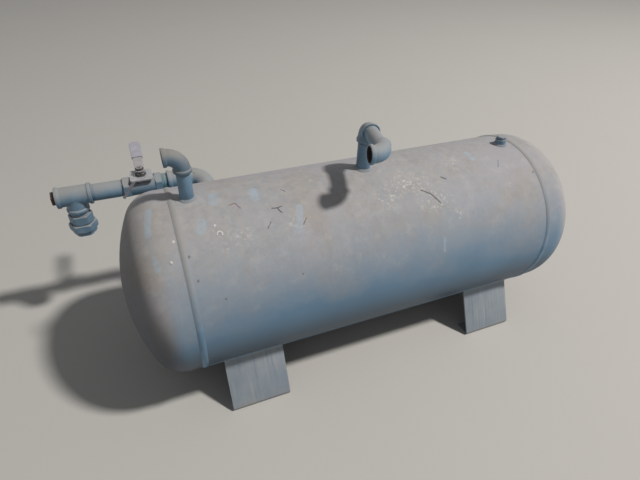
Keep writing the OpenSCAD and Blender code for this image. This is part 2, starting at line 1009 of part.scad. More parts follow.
// The upper end piece: a hexagon socket with a threaded shank for the nut
module union_top() {
    color(paint)
        on_branch(0)
            difference() {
                union() {
                    translate([0, 0, union_nut_top + nut_gap])
                        hex_nut(union_end_af, union_top_h - nut_gap, hex_chamfer);
                    translate([0, 0, union_face_z])
                        cylinder(r = collar_r, h = union_nut_top + nut_gap + past - union_face_z);
                }
                translate([0, 0, union_top_z - large_engage])
                    cylinder(r = large_pipe_d / 2 + fit, h = large_engage + past);
                translate([0, 0, union_face_z - past])
                    cylinder(r = large_pipe_d / 2 - large_pipe_wall, h = 2 * union_top_h + union_nut_h);
            }
}

module union_nut() {
    color(paint)
        on_branch(union_nut_low)
            difference() {
                hex_nut(union_nut_af, union_nut_h, 3);
                translate([0, 0, union_lip])
                    cylinder(r = collar_r + fit, h = union_nut_h);
                translate([0, 0, -past])
                    cylinder(r = collar_r - lip_depth, h = union_nut_h);
            }
}

// The lower end piece: a collar that the nut pulls up, and an open socket
module union_bottom() {
    low = union_nut_low - union_bottom_h;
    neck = collar_r - lip_depth - fit;
    color(paint)
        on_branch(0)
            difference() {
                union() {
                    translate([0, 0, union_nut_low + union_lip + fit])
                        cylinder(r = collar_r - fit, h = union_face_z - union_nut_low - union_lip - 2 * fit);
                    translate([0, 0, low + past])
                        cylinder(r = neck, h = union_face_z - low - past - fit);
                    translate([0, 0, low])
                        hex_nut(union_end_af, union_bottom_h - nut_gap, hex_chamfer);
                }
                translate([0, 0, low - past])
                    cylinder(r = large_pipe_d / 2 + fit, h = large_engage + past);
                translate([0, 0, low])
                    cylinder(r = large_pipe_d / 2 - large_pipe_wall, h = union_nut_h + union_bottom_h);
            }
}

module drain_coupling() {
    color(paint)
        on_radius(0, 180)
            translate([0, 0, tank_r - wall])
                tube(drain_d / 2, drain_bore_d / 2 + fit, drain_h + wall);
}

module drain_plug() {
    top = tank_r + drain_h;
    shank = 14;
    head = 16;
    head_h = 10;
    color(steel)
        on_radius(0, 180) {
            translate([0, 0, top - shank])
                cylinder(d = drain_bore_d, h = shank);
            translate([-head / 2, -head / 2, top])
                cube([head, head, head_h]);
        }
}

shell();
left_head();
right_head();
left_girth_weld();
right_girth_weld();
seam_weld();
nozzle_welds();
front_left_foot();
back_left_foot();
front_right_foot();
back_right_foot();
left_riser();
left_elbow();
middle_riser();
middle_elbow();
cross_nipple();
outlet_elbow();
right_coupling();
right_plug();
back_riser();
back_elbow();
back_nipple();
inlet_coupling();
inlet_nipple();
valve_body();
valve_tail();
ball_seats();
gland_nut();
stop_plate();
ball();
stem();
lever();
lever_grip();
lever_nut();
run_nipple();
tee();
tee_plug();
branch_nipple();
union_top();
union_nut();
union_bottom();
drain_coupling();
drain_plug();
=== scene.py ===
"""Horizontal pressure tank: paint, welds, threads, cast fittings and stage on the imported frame."""

import math

import bmesh
import bpy
from bpy.props import FloatProperty, FloatVectorProperty, IntProperty, PointerProperty
from mathutils import Matrix, Vector


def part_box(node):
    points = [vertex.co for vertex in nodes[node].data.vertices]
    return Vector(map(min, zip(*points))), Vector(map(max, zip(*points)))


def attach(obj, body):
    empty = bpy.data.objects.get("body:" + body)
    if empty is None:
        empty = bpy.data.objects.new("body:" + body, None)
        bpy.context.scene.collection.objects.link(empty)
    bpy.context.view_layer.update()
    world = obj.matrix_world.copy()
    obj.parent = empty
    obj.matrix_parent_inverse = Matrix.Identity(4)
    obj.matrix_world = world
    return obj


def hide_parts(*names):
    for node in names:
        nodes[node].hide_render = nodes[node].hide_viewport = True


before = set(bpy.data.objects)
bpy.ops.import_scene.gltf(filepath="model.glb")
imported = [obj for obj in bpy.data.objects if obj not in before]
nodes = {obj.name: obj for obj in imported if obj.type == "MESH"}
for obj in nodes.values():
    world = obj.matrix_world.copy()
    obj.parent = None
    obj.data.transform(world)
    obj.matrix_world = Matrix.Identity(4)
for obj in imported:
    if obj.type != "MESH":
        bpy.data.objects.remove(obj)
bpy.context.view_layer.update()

bl_info = {
    "name": "Horizontal Pressure Tank",
    "version": (1, 0, 0),
    "blender": (4, 5, 0),
    "location": "3D View > Sidebar > Tank",
    "description": "Finishes and fine detail of a horizontal pressure tank",
    "category": "Object",
}

# Places and sizes read from the frame, in metres
shell_low, shell_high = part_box("shell")
TANK_R = (shell_high.z - shell_low.z) / 2
AXIS_Z = (shell_high.z + shell_low.z) / 2
SEAM_X = shell_high.x
run_low, run_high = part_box("run_nipple")
RUN_Y = (run_low.y + run_high.y) / 2
RUN_Z = (run_low.z + run_high.z) / 2
BACK_TILT = math.atan2(RUN_Y, RUN_Z - AXIS_Z)

# Reach of the sealing paste from its pipe's middle line, and the least angle of an edge that is broken
PASTE_R = 0.034
PLATE_EDGE = math.radians(28)


def middle(node):
    """The middle of a CAD node's box."""
    low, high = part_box(node)
    return (low + high) / 2


def srgb(r, g, b):
    """A colour given as it looks, 0 to 255, as the linear values that a shader takes."""
    return tuple(((c / 255 + 0.055) / 1.055) ** 2.4 if c > 10 else c / 255 / 12.92 for c in (r, g, b))


def shaded(colour, share):
    """A colour made darker, or lighter."""
    return tuple(c * share for c in colour)


def colour_of(name, description, default):
    """A colour property."""
    return FloatVectorProperty(name=name, description=description, subtype="COLOR", size=3, min=0, max=1,
                               default=default)


def share_of(name, description, default):
    """A property from 0 to 1."""
    return FloatProperty(name=name, description=description, subtype="FACTOR", min=0, max=1, default=default)


def length_of(name, description, least, most, default):
    """A length property, in metres."""
    return FloatProperty(name=name, description=description, unit="LENGTH", subtype="DISTANCE", min=least,
                         max=most, default=default)


def angle_of(name, description, degrees):
    """An angle property, given in degrees."""
    return FloatProperty(name=name, description=description, subtype="ANGLE", default=math.radians(degrees))


class TankPaint(bpy.types.PropertyGroup):
    """Colours and wear of the painted tank"""

    coat: colour_of("Paint", "Colour of the blue-grey paint", srgb(104, 137, 164))
    dust: colour_of("Dust", "Colour of the dust on upward faces", srgb(171, 165, 161))
    rust: colour_of("Rust", "Colour of bare rusty iron", srgb(92, 66, 52))
    soot: colour_of("Fitting dust", "Colour of the browner dust on the fittings", srgb(163, 153, 141))
    dust_cover: share_of("Dust cover", "Share of the dust that lies on upward faces", 0.9)
    wash: share_of("Rain streaks", "How far rain has washed streaks into the dust", 0.1)


class TankWelds(bpy.types.PropertyGroup):
    """Sizes of the weld beads"""

    cap_width: length_of("Cap width", "Width of a girth weld's cap", 0.01, 0.03, 0.0198)
    cap_height: length_of("Cap height", "Height of a girth weld's cap", 0.001, 0.005, 0.003)
    ripple_pitch: length_of("Ripple pitch", "Distance between two ripples of a bead", 0.002, 0.01, 0.0045)
    ripple_height: length_of("Ripple height", "Height of a ripple above the bead", 0, 0.001, 0.0004)


class TankFittings(bpy.types.PropertyGroup):
    """Sizes of the screwed fittings"""

    thread_pitch: length_of("Thread pitch", "Distance between two turns of a thread", 0.0014, 0.004, 0.00231)
    thread_show: length_of("Open thread", "Length of thread that shows beside a fitting", 0, 0.02, 0.008)
    cast_grain: length_of("Casting grain", "Edge of the grid that a casting's skin is rounded on",
                          0.0008, 0.004, 0.0014)
    cast_round: IntProperty(
        name="Casting rounding", description="Rounds of smoothing on a casting's edges",
        min=0, max=20, default=6)


class TankStage(bpy.types.PropertyGroup):
    """Camera, lamps and floor"""

    eye: FloatVectorProperty(
        name="Camera", description="Place of the camera", subtype="XYZ", unit="LENGTH", size=3,
        default=(-0.6899, -1.2376, 1.4213))
    heading: angle_of("Heading", "Camera's turn from straight ahead to the right", 23.57)
    pitch: angle_of("Pitch", "Camera's tilt below the horizon", 37.18)
    roll: angle_of("Roll", "Camera's turn about its own axis", 2.27)
    lens: FloatProperty(
        name="Lens", description="Focal length on a 36 mm sensor", subtype="DISTANCE_CAMERA",
        min=10, max=200, default=25.76)
    floor: colour_of("Floor", "Colour of the floor", srgb(194, 191, 186))
    key: FloatProperty(
        name="Key lamp", description="Power of the large soft lamp", unit="POWER", min=0, default=1720)
    sky: FloatProperty(
        name="Soft light", description="Strength of the even light from all round", min=0, default=0.2)


# Shader groups

class Value:
    """A number, colour or vector that a tree works out; numbers can be added, taken away and multiplied"""

    def __init__(self, web, socket):
        self.web = web
        self.socket = socket

    def __add__(self, other):
        return self.web.math("ADD", self, other)

    def __sub__(self, other):
        return self.web.math("SUBTRACT", self, other)

    def __rsub__(self, other):
        return self.web.math("SUBTRACT", other, self)

    def __mul__(self, other):
        return self.web.math("MULTIPLY", self, other)


class Web:
    """Short ways to add nodes to a tree and join them"""

    def __init__(self, tree, given=None, result=None):
        self.tree = tree
        self.given = self.values(given) if given else None
        self.result = result

    def put(self, node, key, value):
        """Sets an input, or joins a value to it."""
        if isinstance(value, Value):
            self.tree.links.new(value.socket, node.inputs[key])
        else:
            node.inputs[key].default_value = value

    def node(self, kind, values=None, **settings):
        """A new node with its settings and inputs."""
        made = self.tree.nodes.new(kind)
        for key, setting in settings.items():
            setattr(made, key, setting)
        for key, value in (values or {}).items():
            self.put(made, key, value)
        return made

    def values(self, node):
        """All that a node gives, by name."""
        return {socket.name: Value(self, socket) for socket in node.outputs}

    def value(self, kind, values=None, out=0, **settings):
        """What a new node gives."""
        return Value(self, self.node(kind, values, **settings).outputs[out])

    def math(self, operation, a, b=0.0, clamp=False):
        return self.value("ShaderNodeMath", {0: a, 1: b}, operation=operation, use_clamp=clamp)

    def vector(self, operation, a, b=(0, 0, 0), out=0):
        return self.value("ShaderNodeVectorMath", {0: a, 1: b}, out, operation=operation)

    def scaled(self, vector, factor):
        """A vector times a number."""
        return self.value("ShaderNodeVectorMath", {0: vector, "Scale": factor}, operation="SCALE")

    def split(self, vector):
        """The three numbers of a vector."""
        return list(self.values(self.node("ShaderNodeSeparateXYZ", {0: vector})).values())

    def joined(self, x, y, z):
        """A vector of three numbers."""
        return self.value("ShaderNodeCombineXYZ", {0: x, 1: y, 2: z})

    def facing(self):
        """The three numbers of the surface's normal."""
        return self.split(self.value("ShaderNodeNewGeometry", out="Normal"))

    def place(self, nudge=(0, 0, 0)):
        """Object coordinates through a Mapping node."""
        at = self.value("ShaderNodeTexCoord", out="Object")
        return self.value("ShaderNodeMapping", {"Vector": at, "Location": nudge})

    def step(self, value, low, high, to_low=0.0, to_high=1.0):
        """A smooth rise of value from low to high."""
        return self.value("ShaderNodeMapRange", {0: value, 1: low, 2: high, 3: to_low, 4: to_high},
                          interpolation_type="SMOOTHSTEP")

    def noise(self, vector, scale, detail=3.0, rough=0.55, warp=0.0):
        return self.value("ShaderNodeTexNoise", {"Vector": vector, "Scale": scale, "Detail": detail,
                                                 "Roughness": rough, "Distortion": warp})

    def patches(self, vector, scale, detail, rough, *rise):
        """Soft patches: noise that rises smoothly between two of its levels."""
        return self.step(self.noise(vector, scale, detail, rough), *rise)

    def mix(self, factor, a, b):
        """A colour between two."""
        a, b = ((*colour, 1.0) if isinstance(colour, tuple) else colour for colour in (a, b))
        return self.value("ShaderNodeMix", {0: factor, 6: a, 7: b}, out=2, data_type="RGBA")

    def use(self, name, **values):
        """What one of the shared node groups gives."""
        return self.values(self.node("ShaderNodeGroup", values, node_tree=bpy.data.node_groups[name]))

    def give(self, **values):
        """Joins values to what the group puts out."""
        for key, value in values.items():
            self.put(self.result, key, value)


def group(name, outputs, **inputs):
    """A new shader node group: it takes a Vector and the inputs, by their defaults, and gives numbers."""
    tree = bpy.data.node_groups.new(name, "ShaderNodeTree")
    for label, default in {"Vector": (0, 0, 0), **inputs}.items():
        kind = "NodeSocketVector" if isinstance(default, tuple) else "NodeSocketFloat"
        tree.interface.new_socket(name=label, in_out="INPUT", socket_type=kind).default_value = default
    for label in outputs:
        tree.interface.new_socket(name=label, in_out="OUTPUT", socket_type="NodeSocketFloat")
    return Web(tree, tree.nodes.new("NodeGroupInput"), tree.nodes.new("NodeGroupOutput"))


def make_dust():
    """Dust that lies on upward faces in soft patches, thinner down the sides, with dried crumbs."""
    web = group("Settled dust", ("Dust", "Crumbs"), Cover=0.8, Scale=5.0, Wash=0.0, Reach=0.12)
    at, scale = web.given["Vector"], web.given["Scale"]
    up = web.facing()[2]
    patches = web.noise(at, scale, 6.0, 0.6)
    slope = web.math("ADD", up + web.given["Reach"], (patches - 0.5) * 0.9, clamp=True)
    slope = 1.0 - web.math("POWER", 1.0 - slope, 1.45)
    dust = slope * web.patches(at, scale * 14.0, 4.0, 0.7, 0.32, 0.72, 0.88, 1.05) * web.given["Cover"]
    crumbs = web.patches(at, scale * 9.0, 5.0, 0.75, 0.6, 0.7)
    web.give(Dust=web.math("MULTIPLY", dust, 1.0 - web.given["Wash"], clamp=True),
             Crumbs=crumbs * web.step(patches, 0.48, 0.64) * web.step(up, 0.35, 0.85))


def make_streaks():
    """Rain streaks that run down round the tank's barrel, and straight down its crowned ends."""
    web = group("Rain streaks", ("Streaks", "Broad"), Height=AXIS_Z, Density=60.0)
    at = web.given["Vector"]
    x, y, z = web.split(at)
    turn = web.math("ARCTAN2", y, z - web.given["Height"])
    end = web.step(web.math("ABSOLUTE", x), SEAM_X + 0.03, SEAM_X + 0.16)
    along = x + y * end + web.noise(at, 9.0, 2.0) * 0.006
    fine = web.joined(along * web.given["Density"], turn * 0.9, 0.0)
    broad = web.joined(along * 13.0, turn * 0.8, 4.0)
    web.give(Streaks=web.patches(fine, 1.0, 3.0, 0.65, 0.42, 0.7),
             Broad=web.patches(broad, 1.0, 2.0, 0.5, 0.5, 0.7))


def make_skin():
    """Fine height of sprayed paint: orange peel, grit and slow waves."""
    web = group("Sprayed skin", ("Height",), Peel=0.4, Grit=0.3, Waves=0.0)
    given, at = web.given, web.given["Vector"]
    peel = web.noise(at, 260.0, 2.0) * given["Peel"]
    grit = web.patches(at, 900.0, 2.0, 0.55, 0.6, 0.8) * given["Grit"]
    web.give(Height=peel + grit + web.noise(at, 5.0, 2.0) * given["Waves"])


def make_chips():
    """Chips in the paint: small islands of rust with a worn rim."""
    web = group("Paint chips", ("Chip", "Rim"), Scale=60.0, Amount=0.5)
    at, scale = web.given["Vector"], web.given["Scale"]
    field = web.noise(at, scale, 5.0, 0.62, 0.4) * 0.6 + web.noise(at, scale * 0.22, 2.0) * 0.4
    past = field - (0.72 - web.given["Amount"] * 0.2)
    chip = web.step(past, 0.0, 0.012)
    web.give(Chip=chip, Rim=web.math("SUBTRACT", web.step(past, -0.03, 0.0), chip, clamp=True))


def make_spot():
    """A soft, ragged, round or long spot at a point of the part."""
    web = group("Spot", ("Mask",), Centre=(0, 0, 0), Size=(0.01, 0.01, 0.01), Soft=0.5)
    given, at = web.given, web.given["Vector"]
    away = web.vector("DIVIDE", web.vector("SUBTRACT", at, given["Centre"]), given["Size"])
    ragged = (web.noise(at, 160.0, 4.0, 0.7) - 0.5) * 1.1
    reach = web.vector("LENGTH", away, out=1) + ragged
    web.give(Mask=web.step(reach, 1.0 - given["Soft"], 1.0, 1.0, 0.0))


def line_gap(web, at):
    """The distance of a point from the line between a group's From and To."""
    start = web.given["From"]
    way = web.vector("SUBTRACT", web.given["To"], start)
    off = web.vector("SUBTRACT", at, start)
    share = web.math("DIVIDE", web.vector("DOT_PRODUCT", off, way, 1),
                     web.vector("DOT_PRODUCT", way, way, 1), clamp=True)
    return web.vector("LENGTH", web.vector("SUBTRACT", off, web.scaled(way, share)), out=1)


def make_bore():
    """All that lies within a radius of the line between two points."""
    web = group("Bore", ("Mask",), From=(0, 0, 0), To=(0, 0, 0), Radius=0.02)
    radius = web.given["Radius"]
    gap = line_gap(web, web.given["Vector"])
    web.give(Mask=web.step(gap, radius, radius + 0.0006, 1.0, 0.0))


def make_scratch():
    """A thin, wandering line from one point of the part to another."""
    web = group("Scratch", ("Mask",), From=(0, 0, 0), To=(0, 0, 0), Width=0.002)
    at, width = web.given["Vector"], web.given["Width"]
    wander = web.value("ShaderNodeTexNoise", {"Vector": at, "Scale": 60.0, "Detail": 2.0}, out=1)
    wander = web.scaled(web.vector("SUBTRACT", wander, (0.5, 0.5, 0.5)), 0.006)
    gap = line_gap(web, web.vector("ADD", at, wander))
    web.give(Mask=web.step(gap, width * 0.35, width, 1.0, 0.0))


# Materials

def material(name):
    """A new material: the web to add to, its object coordinates and its shader."""
    made = bpy.data.materials.new(name)
    made.use_nodes = True
    made.node_tree.nodes.clear()
    web = Web(made.node_tree)
    shader = web.node("ShaderNodeBsdfPrincipled")
    web.node("ShaderNodeOutputMaterial", {0: Value(web, shader.outputs[0])})
    return web, web.place(), shader


def coat_over(web, shader, colour, rough, height=None, distance=0.0004):
    """Gives a shader its colour, roughness and fine height."""
    web.put(shader, "Base Color", colour)
    web.put(shader, "Roughness", rough)
    if height is not None:
        web.put(shader, "Normal", web.value("ShaderNodeBump", {"Height": height, "Distance": distance}))


# Marks on the tank: (centre, size) of each spot and (from, to, width) of each scratch
PALE_SPOTS = [
    ((0.207, -0.197, 0.599), (0.005, 0.006, 0.006)),
    ((-0.662, -0.150, 0.627), (0.005, 0.006, 0.010)),
    ((-0.540, -0.128, 0.643), (0.004, 0.004, 0.004)),
    ((-0.640, -0.162, 0.625), (0.0035, 0.012, 0.010)),
]
DARK_SPOTS = [
    ((-0.631, -0.195, 0.601), (0.006, 0.006, 0.006)),
    ((-0.621, -0.244, 0.549), (0.005, 0.007, 0.006)),
    ((-0.556, -0.279, 0.490), (0.005, 0.005, 0.005)),
    ((0.625, -0.159, 0.626), (0.006, 0.006, 0.006)),
    ((-0.319, -0.271, 0.506), (0.004, 0.005, 0.005)),
]
SCRATCHES = [
    ((0.150, -0.145, 0.634), (0.177, -0.161, 0.625), 0.0034),
    ((0.177, -0.161, 0.625), (0.192, -0.178, 0.614), 0.0036),
    ((0.192, -0.178, 0.614), (0.207, -0.197, 0.599), 0.0034),
    ((0.248, -0.113, 0.649), (0.263, -0.124, 0.645), 0.0036),
    ((-0.361, -0.108, 0.651), (-0.345, -0.112, 0.650), 0.0030),
    ((-0.345, -0.112, 0.650), (-0.337, -0.128, 0.643), 0.0030),
    ((-0.345, -0.112, 0.650), (-0.330, -0.108, 0.651), 0.0026),
    ((-0.378, -0.150, 0.631), (-0.392, -0.166, 0.622), 0.0024),
    ((-0.268, -0.160, 0.626), (-0.284, -0.176, 0.615), 0.0022),
    ((-0.310, -0.040, 0.668), (-0.300, -0.052, 0.666), 0.0022),
    ((0.513, -0.087, 0.658), (0.492, -0.117, 0.648), 0.0018),
]
RED_LINES = [
    ((-0.483, -0.068, 0.663), (-0.464, -0.066, 0.664), 0.0028),
    ((-0.464, -0.066, 0.664), (-0.454, -0.087, 0.658), 0.0028),
]
# Patches where pale growth clings: (centre, size, share)
LICHEN = [
    ((0.120, -0.110, 0.650), (0.110, 0.070, 0.050), 0.9),
    ((0.020, -0.150, 0.631), (0.060, 0.060, 0.050), 0.8),
    ((0.190, -0.185, 0.608), (0.090, 0.050, 0.050), 0.8),
    ((0.330, -0.060, 0.665), (0.070, 0.050, 0.040), 0.6),
    ((-0.500, -0.170, 0.618), (0.100, 0.070, 0.050), 0.5),
    ((-0.300, -0.170, 0.618), (0.060, 0.050, 0.050), 0.5),
    ((0.260, -0.230, 0.565), (0.030, 0.040, 0.050), 0.5),
]
# Pale blue runs where water has washed the dust away: (from, to, width)
WASHED = [
    ((-0.277, -0.122, 0.645), (-0.299, -0.184, 0.608), 0.0150),
    ((-0.711, -0.028, 0.667), (-0.725, -0.112, 0.641), 0.0150),
    ((-0.722, -0.180, 0.605), (-0.718, -0.206, 0.587), 0.0140),
    ((0.190, -0.269, 0.510), (0.187, -0.288, 0.468), 0.0060),
    ((-0.520, -0.010, 0.671), (-0.524, -0.045, 0.667), 0.0200),
    ((-0.395, -0.020, 0.670), (-0.400, -0.060, 0.665), 0.0180),
    ((-0.575, -0.110, 0.650), (-0.580, -0.135, 0.640), 0.0200),
    ((0.420, -0.020, 0.670), (0.418, -0.060, 0.665), 0.0160),
]
# Tones in the tank's dust: (nudge, scale, detail, roughness, low, high, share, colour)
DUST_TONES = [
    ((0, 0, 0), 6.0, 5.0, 0.65, 0.46, 0.72, 0.6, srgb(158, 147, 134)),
    ((0, 0, 0), 26.0, 5.0, 0.7, 0.46, 0.66, 0.35, srgb(134, 131, 132)),
    ((1.0, 5.0, 2.0), 20.0, 4.0, 0.65, 0.52, 0.68, 0.3, srgb(188, 184, 182)),
    ((3.0, 1.0, 0.0), 3.0, 3.0, 0.5, 0.5, 0.68, 0.4, srgb(166, 161, 170)),
]


def dusty(web, at, cover, scale, wash=0.0, reach=0.0):
    """The shared dust and its crumbs."""
    return web.use("Settled dust", Vector=at, Cover=cover, Scale=scale, Wash=wash, Reach=reach)


def skin_height(web, at, peel, grit, waves=0.0):
    """The fine height of a painted or cast skin."""
    return web.use("Sprayed skin", Vector=at, Peel=peel, Grit=grit, Waves=waves)["Height"]


def spotted(web, at, colour, rows, soft, share, tint):
    """A colour with a tint in each (centre, size) spot."""
    for centre, size in rows:
        spot = web.use("Spot", Vector=at, Centre=centre, Size=size, Soft=soft)
        colour = web.mix(spot["Mask"] * share, colour, tint)
    return colour


def lined(web, at, colour, rows, share, tint):
    """A colour with a tint along each (from, to, width) line."""
    for start, end, width in rows:
        line = web.use("Scratch", Vector=at, From=start, To=end, Width=width)
        colour = web.mix(line["Mask"] * share, colour, tint)
    return colour


def tank_paint_material(paint):
    """Blue-grey paint beneath dust, with rain streaks, scratches and dried crumbs; painted shade darkens the
    faces turned down, and the left end low down.
    """
    web, at, shader = material("Tank paint")
    facing = web.facing()
    streaks = web.use("Rain streaks", Vector=at)
    # The crowned ends hold their dust further down than the barrel
    ends = web.step(web.math("ABSOLUTE", facing[0]), 0.05, 0.6)
    dust = dusty(web, at, paint.dust_cover, 3.2, streaks["Streaks"] * paint.wash, ends * 0.6)
    cover = dust["Dust"]
    tone = web.patches(at, 2.2, 4.0, 0.55, 0.35, 0.7)
    coat = web.mix(tone, shaded(paint.coat, 0.9), shaded(paint.coat, 1.04))
    coat = web.mix(streaks["Broad"] * 0.12, coat, shaded(paint.coat, 0.8))
    colour = web.mix(cover, coat, tuple(paint.dust))
    for nudge, scale, detail, rough, low, high, share, tint in DUST_TONES:
        tone = web.patches(web.place(nudge), scale, detail, rough, low, high, 0.0, share)
        colour = web.mix(tone * cover, colour, tint)
    colour = web.mix(dust["Crumbs"] * 0.45, colour, srgb(190, 184, 176))
    lichen = web.patches(at, 75.0, 5.0, 0.8, 0.53, 0.61)
    for centre, size, share in LICHEN:
        colour = spotted(web, at, colour, [(centre, size)], 0.9, lichen * share, srgb(212, 208, 200))
    # Painted shade: faces turned down, and the crowned ends a little higher up, are darkened towards a dark
    # blue-grey
    painted_shade_below = web.step(facing[2] - ends * 0.3, -0.7, 0.12, 0.85, 0.0)
    colour = web.mix(painted_shade_below, colour, srgb(44, 52, 60))
    # Painted shade: the left end is darkened low down, on its faces turned to the left and down
    painted_shade_left_end = web.step(facing[0] * -0.8 + facing[2] * -0.75, -0.1, 0.75, 0.0, 0.62)
    colour = web.mix(painted_shade_left_end, colour, srgb(52, 55, 62))
    ragged = web.patches(at, 42.0, 5.0, 0.75, 0.36, 0.6, 0.18, 0.75)
    colour = lined(web, at, colour, WASHED, ragged, srgb(160, 176, 188))
    colour = lined(web, at, colour, RED_LINES, 0.75, srgb(122, 76, 82))
    specks = web.patches(at, 150.0, 3.0, 0.6, 0.66, 0.72) * web.patches(at, 8.0, 3.0, 0.6, 0.5, 0.62)
    colour = web.mix(specks * cover * 0.55, colour, srgb(100, 92, 88))
    colour = spotted(web, at, colour, PALE_SPOTS, 0.4, 0.8, srgb(214, 213, 210))
    colour = spotted(web, at, colour, DARK_SPOTS, 0.6, 0.6, srgb(84, 80, 78))
    colour = lined(web, at, colour, SCRATCHES, 0.85, srgb(62, 58, 58))
    height = skin_height(web, at, 0.2, 0.25, 4.0) + dust["Crumbs"] * 0.8
    coat_over(web, shader, colour, cover * 0.4 + 0.48, height, 0.0006)


def fitting_material(name, paint, coat, cast, chips, dust_cover, bores=(), paste=None, painted_shade_share=1.0):
    """Paint over iron: dusty on top, chipped to rust at places, and bare iron inside the bores, darkened
    further with painted shade.
    """
    web, at, shader = material(name)
    dust = dusty(web, at, dust_cover, 16.0)["Dust"]
    flaws = web.use("Paint chips", Vector=at, Scale=90.0, Amount=chips)
    colour = web.mix(web.patches(at, 14.0, 4.0, 0.6, 0.35, 0.7), shaded(coat, 0.8), coat)
    # A share below 1 darkens the dust as painted shade
    colour = web.mix(dust, colour, shaded(paint.soot, painted_shade_share))
    colour = web.mix(flaws["Rim"] * 0.5, colour, srgb(150, 150, 150))
    rust = web.mix(web.noise(at, 240.0, 3.0), srgb(62, 45, 38), tuple(paint.rust))
    colour = web.mix(flaws["Chip"], colour, rust)
    if paste:
        # Green sealing paste, rubbed on in patches
        green = web.use("Bore", Vector=at, From=paste[0], To=paste[1], Radius=PASTE_R)["Mask"]
        patchy = green * web.patches(at, 40.0, 4.0, 0.6, 0.3, 0.55)
        colour = web.mix(patchy * 0.6, colour, srgb(88, 140, 142))
    rough = web.math("MAXIMUM", dust * 0.4 + 0.45, flaws["Chip"] * 0.85)
    # Inside the bores: bare iron, made near-black as painted shade inside the mouths
    iron = web.mix(web.noise(at, 110.0, 4.0, 0.7), srgb(34, 31, 30), srgb(62, 50, 42))
    for start, end, radius in bores:
        inside = web.use("Bore", Vector=at, From=start, To=end, Radius=radius)["Mask"]
        colour = web.mix(inside, colour, iron)
        rough = web.math("MAXIMUM", rough, inside * 0.9)
    height = skin_height(web, at, cast, cast * 0.6) - flaws["Chip"] * 0.5
    coat_over(web, shader, colour, rough, height, 0.0007)


def foot_material(paint):
    """Paint of the feet, greyed by dust, with drips that have run down the plates."""
    web, at, shader = material("Foot paint")
    flaws = web.use("Paint chips", Vector=at, Scale=80.0, Amount=0.2)
    part = web.split(at)
    along = part[0] + web.noise(at, 12.0, 2.0) * 0.01
    drips = web.noise(web.joined(along * 130.0, part[2] * 5.0, 0.0), 1.0, 3.0, 0.6)
    tone = web.patches(at, 10.0, 4.0, 0.6, 0.35, 0.7)
    colour = web.mix(tone, srgb(128, 139, 149), srgb(140, 147, 153))
    pale = web.step(drips, 0.52, 0.7, 0.0, 0.55)
    colour = web.mix(pale, colour, srgb(160, 160, 158))
    colour = web.mix(web.step(drips, 0.3, 0.44, 0.5, 0.0), colour, srgb(108, 117, 126))
    splash = web.step(part[2], 0.0, 0.03, 0.45, 0.0) * web.patches(at, 45.0, 4.0, 0.7, 0.35, 0.6)
    colour = web.mix(splash, colour, srgb(152, 142, 130))
    colour = web.mix(flaws["Rim"] * 0.5, colour, srgb(160, 160, 158))
    colour = web.mix(flaws["Chip"], colour, tuple(paint.rust))
    height = skin_height(web, at, 0.3, 0.4) + drips * 0.6
    coat_over(web, shader, colour, pale * 0.3 + 0.6, height, 0.0006)


def rust_material(paint):
    """Bare rusty iron with flakes of paint left on it."""
    web, at, shader = material("Rusty iron")
    flaws = web.use("Paint chips", Vector=at, Scale=70.0, Amount=0.95)
    deep = web.mix(web.patches(at, 55.0, 5.0, 0.7, 0.35, 0.7), srgb(62, 48, 41), tuple(paint.rust))
    deep = web.mix(web.patches(at, 150.0, 4.0, 0.7, 0.55, 0.75) * 0.4, deep, srgb(128, 88, 60))
    colour = web.mix(flaws["Chip"] * 0.35, deep, shaded(paint.coat, 0.7))
    coat_over(web, shader, colour, 0.9, skin_height(web, at, 1.0, 1.0), 0.0009)


def metal_material(name, light, dark, rough, metallic, scale=60.0, grit=0.4):
    """Bare or plated metal, cloudy and matt from weather."""
    web, at, shader = material(name)
    dust = dusty(web, at, 0.5, 30.0)["Dust"]
    colour = web.mix(web.patches(at, scale, 5.0, 0.65, 0.35, 0.7), dark, light)
    colour = web.mix(dust, colour, srgb(176, 171, 167))
    web.put(shader, "Metallic", (1.0 - dust) * metallic)
    coat_over(web, shader, colour, dust * 0.4 + rough, skin_height(web, at, 0.3, grit))


def grip_material():
    """Soft lavender-grey sleeve, faded in patches and dusty on top."""
    web, at, shader = material("Grip sleeve")
    faded = web.patches(at, 35.0, 4.0, 0.6, 0.35, 0.7)
    colour = web.mix(faded, srgb(140, 139, 152), srgb(168, 166, 180))
    colour = web.mix(dusty(web, at, 0.35, 40.0)["Dust"], colour, srgb(172, 168, 168))
    coat_over(web, shader, colour, faded * 0.2 + 0.5, skin_height(web, at, 0.6, 0.2))


def mottled_material(name, scale, dark, light, rough, height=None):
    """A plain stuff with a faint mottle."""
    web, at, shader = material(name)
    colour = web.mix(web.noise(at, scale, 3.0), dark, light)
    coat_over(web, shader, colour, rough, web.noise(at, height, 2.0) if height else None)


def floor_material(tone):
    """The pale floor, hardly shiny."""
    web, at, shader = material("Pale floor")
    colour = web.mix(web.noise(at, 1.5, 5.0, 0.6), shaded(tone, 0.975), tuple(tone))
    coat_over(web, shader, colour, 0.9)
    shader.inputs["Specular IOR Level"].default_value = 0.1


# Mesh building

def placed(name, data):
    """A new object in the scene."""
    made = bpy.data.objects.new(name, data)
    bpy.context.scene.collection.objects.link(made)
    return made


def piece(name, bm, finish, stands_for=(), body="tank", crease=math.radians(35)):
    """Finishes a bmesh as a piece that rides on a body, with edges past the crease kept sharp."""
    mesh = bpy.data.meshes.new(name)
    bm.normal_update()
    bm.to_mesh(mesh)
    bm.free()
    made = placed(name, mesh)
    mesh.materials.append(bpy.data.materials[finish])
    mesh.shade_smooth()
    if crease:
        mesh.set_sharp_from_angle(angle=crease)
    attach(made, body)
    if stands_for:
        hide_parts(*stands_for)
    return made


